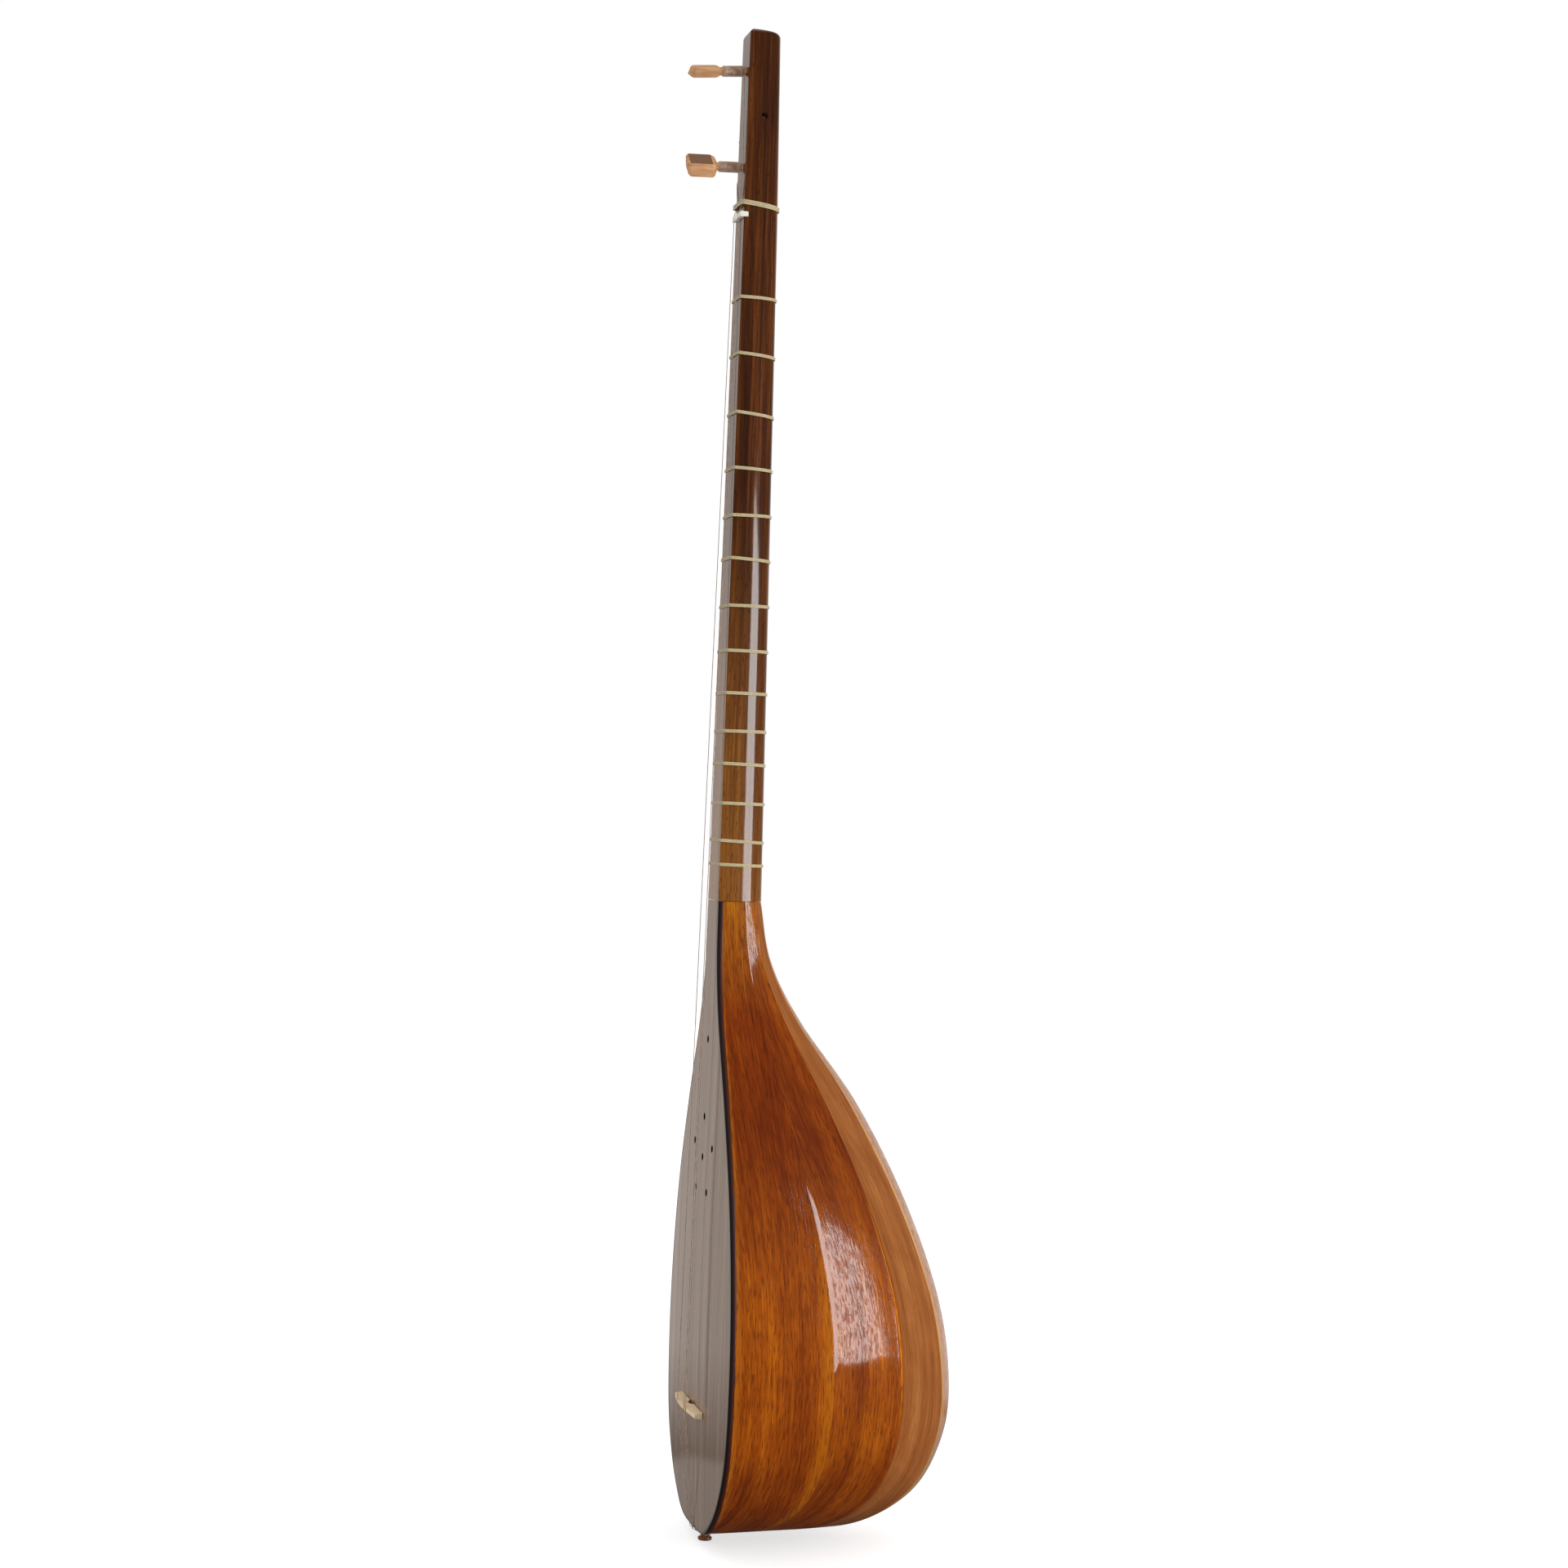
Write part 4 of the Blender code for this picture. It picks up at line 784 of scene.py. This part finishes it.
half = neck_half(NUT_Z) - NUT_SET_IN
nut = cube_between("nut_slip", (-half, FACE_Y - NUT_HEIGHT, NUT_Z - NUT_THICKNESS / 2),
                   (half, FACE_Y + NUT_SLOT_DEPTH - 2 * NUT_FIT, NUT_Z + NUT_THICKNESS / 2))
settle(nut)
start_edit(nut)
bpy.ops.mesh.bevel(offset=NUT_ROUNDING, segments=3)
bpy.ops.object.mode_set(mode="OBJECT")
for x in string_at_nut.values():
    bpy.ops.mesh.primitive_cylinder_add(vertices=24, radius=STRING_R + GROOVE_ROOM, depth=0.01,
                                        location=(x, FACE_Y - NUT_HEIGHT + STRING_SINK, NUT_Z))
    cut(nut, named("groove_file"))
finish_piece(nut, bone, "instrument", "nut")


# The frets and the tie above the nut: gut cord wound three turns round the neck and
# knotted on its left side. Friction holds a fret, so it can be pushed along for tuning.

BRIDGE_Z = 0.080
CORD_R = 0.00033
CORD_TURNS = 3
FRET_ROOM = 0.00012
TIE_CORD_R = 0.0005
TIE_ROOM = 0.00015
TIE_RISE = 0.007
TIE_LIFT = 0.0011         # room in front of the face for the strings that pass under the tie
TIE_SLANT = 4.0
ROUND_POINTS = 44         # points of a turn round the back of the neck
KNOT_POINT = 38           # the one of them that the knot lies on
KNOT_POINTS = 40
STRAND_PITCH = 1.9        # in radii of the cord, and so are the next three
KNOT_OUT = 1.6
KNOT_SIZE = 0.8
KNOT_CORD_R = 0.85

# The instrument's own scale: semitones from the open string to each fret
semitones = (1.25, 2.15, 3.15, 4.15, 5.05, 5.9, 6.9, 7.9, 8.9, 9.85, 10.7, 11.8, 12.9, 13.65)
fret_heights = [BRIDGE_Z + (NUT_Z - BRIDGE_Z) * 2 ** (-steps / 12) for steps in semitones]
# How far each fret sinks towards the back, in degrees, as it was pushed by hand
fret_slants = (-1.0, 2.3, 3.5, 0.6, -1.7, 1.6, -1.1, -0.5, -0.5, -0.7, 0.8, 0.2, 2.1, 1.0)

# Twisted gut: straw-coloured and a little see-through, with its plies as fine ridges
gut = fine_grained("twisted_gut", (1.4286, 1.4286, 0.3846), 2.0, ((0.35, "#b4a47e"), (0.65, "#cfc09a")),
                   relief=0.3, Roughness=0.45, Subsurface_Weight=0.15, Subsurface_Scale=0.001,
                   Subsurface_Radius=(1.0, 0.8, 0.5))


def wire(name, points, radius, closed):
    """A round wire or cord along a route, drawn as a bevelled curve and turned into a mesh."""
    curve = bpy.data.curves.new(name, "CURVE")
    curve.dimensions = "3D"
    curve.bevel_depth = radius
    curve.bevel_resolution = 4
    curve.use_fill_caps = not closed
    spline = curve.splines.new("POLY")
    spline.points.add(len(points) - 1)
    for knot, point in zip(spline.points, points):
        knot.co = (*point, 1.0)
    spline.use_cyclic_u = closed
    made = bpy.data.objects.new(name, curve)
    bpy.context.scene.collection.objects.link(made)
    select_only(made)
    bpy.ops.object.convert(target="MESH")
    made = named(name)
    clean(made)
    return made


def join(name, pieces):
    select_only(pieces[0])
    for piece in pieces[1:]:
        piece.select_set(True)
    bpy.ops.object.join()
    return named(name)


def tied_cord(name, z, cord_r, room, lift, slant):
    """Turns of cord side by side round the neck, with a knot on its left side."""
    away = room + cord_r
    half = neck_half(z)
    route = neck_outline(half + away, neck_depth(z) + away, ROUND_POINTS)
    corner = NECK_EDGE + away
    for side, order in ((-1, (1, 2, 3, 4)), (1, (4, 3, 2, 1))):
        for i in order:
            angle = pi / 2 * i / 4
            route.append((side * (half - NECK_EDGE + corner * cos(angle)),
                          NECK_EDGE - corner * sin(angle) - lift * i / 4))
    fall = sin(radians(slant))
    strands = []
    for turn in range(CORD_TURNS):
        rise = (turn - (CORD_TURNS - 1) / 2) * STRAND_PITCH * cord_r
        points = [(x, FACE_Y + y, z + rise - y * fall) for x, y in route]
        strands.append(wire("strand", points, cord_r, closed=True))
    knot_x, knot_y = route[KNOT_POINT]
    knot_at = Vector((knot_x - cord_r * KNOT_OUT, FACE_Y + knot_y, z - knot_y * fall))
    knot = []
    for i in range(KNOT_POINTS):
        t = 2 * pi * i / KNOT_POINTS
        lay = Vector((-sin(3 * t), cos(t) - 2 * cos(2 * t), sin(t) + 2 * sin(2 * t)))
        knot.append(knot_at + lay * (cord_r * KNOT_SIZE))
    strands.append(wire("knot", knot, cord_r * KNOT_CORD_R, closed=True))
    return join(name, strands)


for i, (z, slant) in enumerate(zip(fret_heights, fret_slants)):
    body = "fret_%02d" % (i + 1)
    fret = tied_cord("tied_" + body, z, CORD_R, FRET_ROOM, 0.0, slant)
    finish_piece(fret, gut, body, body)

tie_z = NUT_Z + TIE_RISE
tie = tied_cord("tied_above_nut", tie_z, TIE_CORD_R, TIE_ROOM, TIE_LIFT, TIE_SLANT)
finish_piece(tie, gut, "instrument", "nut_tie")


# The bridge: a low bar of pale boxwood, thin at the top and wider at its feet, with
# an arch cut under its middle. Only the strings' pressure holds it, slightly askew.

BRIDGE_HALF = 0.027
BRIDGE_HEIGHTS = (0.007, 0.0045)            # in the middle and at the ends
BRIDGE_THICKNESSES = (0.0040, 0.0018)       # at the feet and at the top
BRIDGE_SKEW = 2.0
BRIDGE_LIFT = 0.0002      # how far its middle stands off the board, so that it slides free
BRIDGE_SLICES = 54
BRIDGE_ROUNDING = 0.00025
ARCH_HALF = 0.006
ARCH_RISE = 0.0022
BRIDGE_GROOVE_R = 0.00115
FILE_OUT = 0.0001         # how far the file's middle stands in front of the bridge's top
CROWN_INSET = 0.0003      # from the strip to where the crown under the bridge is measured
string_at_bridge = {"side": -0.0120, "lower": 0.0080, "upper": 0.0115}


def bridge_height(x):
    return mix(*BRIDGE_HEIGHTS, (x / BRIDGE_HALF) ** 2)


# Scraped boxwood: cream, dull, with faint lines along the bar
boxwood = fine_grained("scraped_boxwood", (11.11, 1.111, 1.111), 3.0, ((0.35, "#e4c49a"), (0.65, "#f8e0bc")),
                       relief=0.2, Roughness=0.5, Specular_IOR_Level=0.4)

fine_steps = [i / 60 for i in range(60, LAST * 60 + 1)]
bridge_step = min(fine_steps, key=lambda step: abs(rim_point(step, STRIP_WIDTH)[1] - BRIDGE_Z))
board_half = rim_point(bridge_step, STRIP_WIDTH + CROWN_INSET)[0]
board_front = rim_y(BRIDGE_Z) - crown(0.0, board_half)
rows = []
for i in range(BRIDGE_SLICES + 1):
    x = BRIDGE_HALF * (2 * i / BRIDGE_SLICES - 1)
    low = crown(x, board_half) - crown(0.0, board_half)
    if abs(x) < ARCH_HALF:
        low = max(low, ARCH_RISE * (1.0 - (x / ARCH_HALF) ** 2))
    high = bridge_height(x)
    row = []
    for share in (0.0, 0.15, 0.5, 0.85, 1.0):
        h = mix(low, high, share)
        row.append(Vector((x, -h, -mix(*BRIDGE_THICKNESSES, max(0.0, h) / BRIDGE_HEIGHTS[0]) / 2)))
    row += [Vector((x, point.y, -point.z)) for point in reversed(row)]
    rows.append(row + [row[0].copy()])
bridge = grid("bridge_bar", rows)
clean(bridge, cap=True)
start_edit(bridge, "DESELECT")
bpy.ops.mesh.edges_select_sharp(sharpness=radians(50.0))
bpy.ops.mesh.bevel(offset=BRIDGE_ROUNDING, segments=2)
bpy.ops.object.mode_set(mode="OBJECT")
for x in string_at_bridge.values():
    bpy.ops.mesh.primitive_cylinder_add(vertices=32, radius=BRIDGE_GROOVE_R, depth=0.012,
                                        location=(x, -bridge_height(x) - FILE_OUT, 0))
    cut(bridge, named("groove_file"))
bridge.rotation_euler = (0.0, radians(BRIDGE_SKEW), 0.0)
bridge.location = (0.0, board_front - BRIDGE_LIFT, BRIDGE_Z)
finish_piece(bridge, boxwood, "bridge", "bridge")


# The three pegs: each turned to a tapered shaft, its head then cut by knife to a
# rhombus with a ridge on both broad sides and a slanted end. The wood is left bare,
# and one facet of each head is painted darker as shade.

HEAD_AT = 0.0155
HEAD_LENGTH = 0.0172
HEAD_WIDTH = 0.0140
HEAD_THICKNESS = 0.0078
HEAD_SLANT = 0.0020
HEAD_FULL = 0.0022        # height at which the head has its full width
HEAD_SUNK = 0.0001        # how far it starts inside the shaft
# Share of its full size, and height: from the shaft to the end
HEAD_STEPS = ((0.4, 0.0), (0.82, 0.0008), (1.0, HEAD_FULL), (1.0, HEAD_LENGTH - 0.0016), (0.80, HEAD_LENGTH))
PEG_EDGE = 0.0003         # width of its bevelled edges
TIP_RECESS = 0.0070       # how far a peg's tip stops short of the far side of the neck

# Whittled maple: warm, pale and dull, with darker flecks, and a darker brown painted on one facet of the head
# as shade
bare_wood = fine_grained("whittled_maple", (1.4286, 12.5, 1.4286), 4.0,
                         ((0.35, "#bc8658"), (0.65, "#dcaa7c")), relief=0.25, Roughness=0.55,
                         Specular_IOR_Level=0.35)
tree = bare_wood.node_tree
base_colour = tree.nodes["Principled BSDF"].inputs["Base Color"]
handled = add(tree, "Attribute", {}, attribute_name="handled").outputs["Fac"]
colour = add(tree, "Mix", {0: handled, 6: base_colour.links[0].from_socket, 7: linear("#7a563f")},
             data_type="RGBA")
tree.links.new(colour.outputs[2], base_colour)

for name, (seat, wood_depth) in pegs.items():
    tip = TIP_RECESS - wood_depth
    tip_r = PEG_SHAFT_R + (PEG_SHAFT_R - PEG_TIP_R) / wood_depth * tip
    profile = [(tip_r - 0.0004, tip), (tip_r - 0.0001, tip + 0.0002), (tip_r, tip + 0.0005),
               (PEG_SHAFT_R, 0.0), (PEG_SHAFT_R, HEAD_AT), (PEG_SHAFT_R * 0.8, HEAD_AT + 0.0012)]
    peg = turned("peg_%s_carved" % name, profile, 32)
    head = turned("head", [(share, HEAD_AT - HEAD_SUNK + height) for share, height in HEAD_STEPS], 4)
    head.scale = (HEAD_THICKNESS / 2, HEAD_WIDTH / 2, 1.0)
    settle(head)
    for vertex in head.data.vertices:
        rise = min(1.0, max(0.0, (vertex.co.z - HEAD_AT) / HEAD_FULL))
        vertex.co.z += HEAD_SLANT * rise * (0.5 + vertex.co.y / HEAD_WIDTH)
    start_edit(head)
    bpy.ops.mesh.bevel(offset=PEG_EDGE, segments=2)
    bpy.ops.object.mode_set(mode="OBJECT")
    cut(peg, head, "UNION")
    # Painted shade: the faces of one facet of the head are marked for the darker brown
    handled = peg.data.attributes.new("handled", "FLOAT", "FACE")
    facet = Vector((HEAD_WIDTH, HEAD_THICKNESS, 0.0)).normalized()
    for face in peg.data.polygons:
        in_facet_shade = face.normal.dot(facet) > 0.97 and face.center.z > HEAD_AT
        handled.data[face.index].value = 0.95 if in_facet_shade else 0.0
    quarter = Matrix.Rotation(pi / 2 if name == "upper" else 0.0, 4, "Z")
    peg.data.transform(seat @ quarter)
    finish_piece(peg, bare_wood, "peg_" + name, "peg_" + name)


# The strings: plain drawn steel. Each loops round the tail pin, crosses the board's
# edge, the bridge and the nut, passes under the tie, and is wound on its peg.

WINDING_R = 0.00025
WINDING_TURNS = 19
WINDING_PITCH = 0.00066
WINDING_START = 0.0016
LOOP_TURN = 230.0         # degrees of a string's loop round the pin
LOOP_POINTS = 36
CLEARANCE = 0.0003
TIE_HALF = 0.0015         # half the height that the tie covers
PEG_END = 0.0022          # how far below its peg's axis a string ends, beside the winding
string_at_edge = {"side": -0.0034, "lower": 0.0024, "upper": 0.0042}
string_loop_z = {"side": 0.0042, "lower": 0.0030, "upper": 0.0054}

# Drawn steel with a painted reflection: it is coloured the warm brown of the pale wood that its
# fine turns mirror, so it is far less metallic than clean wire
steel = fine_grained("drawn_steel", (3.333, 3.333, 3.333), 2.0, ((0.35, "#bc9a82"), (0.65, "#e0c4ae")),
                     Metallic=0.25, Roughness=0.35)

leave = PEG_SHAFT_R + CLEARANCE + WINDING_R
loop_r = PIN_GROOVE_R + CLEARANCE + STRING_R
under_tie = FACE_Y - CLEARANCE - STRING_R
for name, (seat, wood_depth) in pegs.items():
    bpy.ops.mesh.primitive_circle_add(vertices=12, radius=WINDING_R, location=(leave, 0, WINDING_START),
                                      rotation=(pi / 2, 0, 0))
    winding = named("wound_string_" + name)
    settle(winding)
    apply_modifier(winding, "turns", "SCREW", axis="Z", angle=2 * pi, screw_offset=WINDING_PITCH,
                   iterations=WINDING_TURNS, steps=24, render_steps=24)
    clean(winding, cap=True)
    winding.data.transform(seat)
    finish_piece(winding, steel, "peg_" + name, "winding_" + name)

    side = -1 if name == "side" else 1
    route = []
    for i in range(LOOP_POINTS, -1, -1):
        angle = radians(LOOP_TURN) * i / LOOP_POINTS
        route.append(Vector((side * loop_r * cos(angle), loop_r * sin(angle), string_loop_z[name])))
    route.append(Vector((string_at_edge[name], rim_y(BOWL_LOW) - CLEARANCE - STRING_R,
                         BOWL_LOW - CLEARANCE - STRING_R / 2)))
    x = string_at_bridge[name]
    route.append(Vector((x, board_front - CLEARANCE - bridge_height(x) + STRING_SINK,
                         BRIDGE_Z - x * sin(radians(BRIDGE_SKEW)))))
    x = string_at_nut[name]
    for way in (-1, 1):
        past_nut = NUT_Z + way * (NUT_THICKNESS / 2 + CLEARANCE)
        route.append(Vector((x, FACE_Y - NUT_HEIGHT + STRING_SINK, past_nut)))
    for way in (-1, 1):
        route.append(Vector((x, under_tie, tie_z + way * TIE_HALF)))
    end = seat @ Vector((leave, -PEG_END, WINDING_START))
    if name == "side":
        corner_z = mix(tie_z, end.z, 0.3)
        route.append(Vector((-neck_half(corner_z) - 2 * STRING_R, FACE_Y - STRING_R / 2, corner_z)))
    route.append(end)
    string = wire("string_%s_wire" % name, route, STRING_R, closed=False)
    finish_piece(string, steel, "instrument", "string_" + name)


# The studio: white paper under and behind the instrument. The room is dark on the
# camera's side, so that the varnish there stays deep, and a tall window is mirrored in it.

bpy.ops.mesh.primitive_plane_add(size=8.0, location=(0, 0, -0.0005))
floor = named("floor")
paper, tree, shader = new_material("white_paper", Roughness=0.9, Base_Color=(0.6, 0.6, 0.6, 1.0),
                                   Specular_IOR_Level=0.0, Emission_Color=(0.65, 0.65, 0.65, 1.0))
seen = add(tree, "LightPath", {})
drive(tree, shader, Emission_Strength=seen.outputs["Is Camera Ray"])
floor.data.materials.append(paper)
floor.visible_glossy = False

world = bpy.data.worlds.new("studio")
bpy.context.scene.world = world
world.use_nodes = True
tree = world.node_tree
seen = add(tree, "LightPath", {})
way = add(tree, "SeparateXYZ", {0: add(tree, "TexCoord", {}).outputs["Generated"]})
# What a glossy surface mirrors: a pale backdrop behind the instrument that ends just above the
# tail, a little of the table below that, and a bright ceiling
behind = add(tree, "MapRange", {"Value": way.outputs[0], "From Min": -0.1, "From Max": -0.75},
             interpolation_type="SMOOTHSTEP")
aside = add(tree, "MapRange", {"Value": way.outputs[1], "From Min": -0.2, "From Max": 0.6, "To Min": 0.60,
                               "To Max": 0.72})
backdrop = add(tree, "Math", {0: behind.outputs[0], 1: aside.outputs[0]}, operation="MULTIPLY")
height = add(tree, "MapRange", {"Value": way.outputs[2], "From Min": -0.5, "From Max": 0.0})
ends = add(tree, "ValToRGB", {0: height.outputs[0]},
           stops=((0.0, "#000000"), (0.528, "#c4c4c4"), (0.536, "#484848"), (0.63, "#ffffff")))
ceiling = add(tree, "MapRange", {"Value": way.outputs[2], "From Min": 0.8, "From Max": 1.0, "To Min": 0.04})
mirrored = add(tree, "Math", {0: backdrop.outputs[0], 1: ends.outputs[0], 2: ceiling.outputs[0]},
               operation="MULTIPLY_ADD")
glossy = seen.outputs["Is Glossy Ray"]
level = add(tree, "Mix", {0: glossy, 2: 0.88, 3: mirrored.outputs[0]})
for kind in ("Is Camera Ray", "Is Transmission Ray"):
    level = add(tree, "Math", {0: level.outputs[0], 1: seen.outputs[kind]}, operation="MAXIMUM")
warm = add(tree, "Mix", {0: glossy, 6: (1.0, 1.0, 1.0, 1.0), 7: (1.0, 0.92, 0.86, 1.0)}, data_type="RGBA")
drive(tree, tree.nodes["Background"], Color=warm.outputs[2], Strength=level.outputs[0])

window_data = bpy.data.lights.new("window", "AREA")
window_data.shape = "RECTANGLE"
window_data.size = 1.335
window_data.size_y = 0.823
window_data.energy = 28.0
window = bpy.data.objects.new("window", window_data)
bpy.context.scene.collection.objects.link(window)
window.location = (1.004, 1.393, 0.36)
window.rotation_euler = Vector((-0.972, 0.235, 0.0)).to_track_quat("-Z", "Y").to_euler()
window.visible_camera = False

bpy.context.scene.view_settings.view_transform = "Standard"
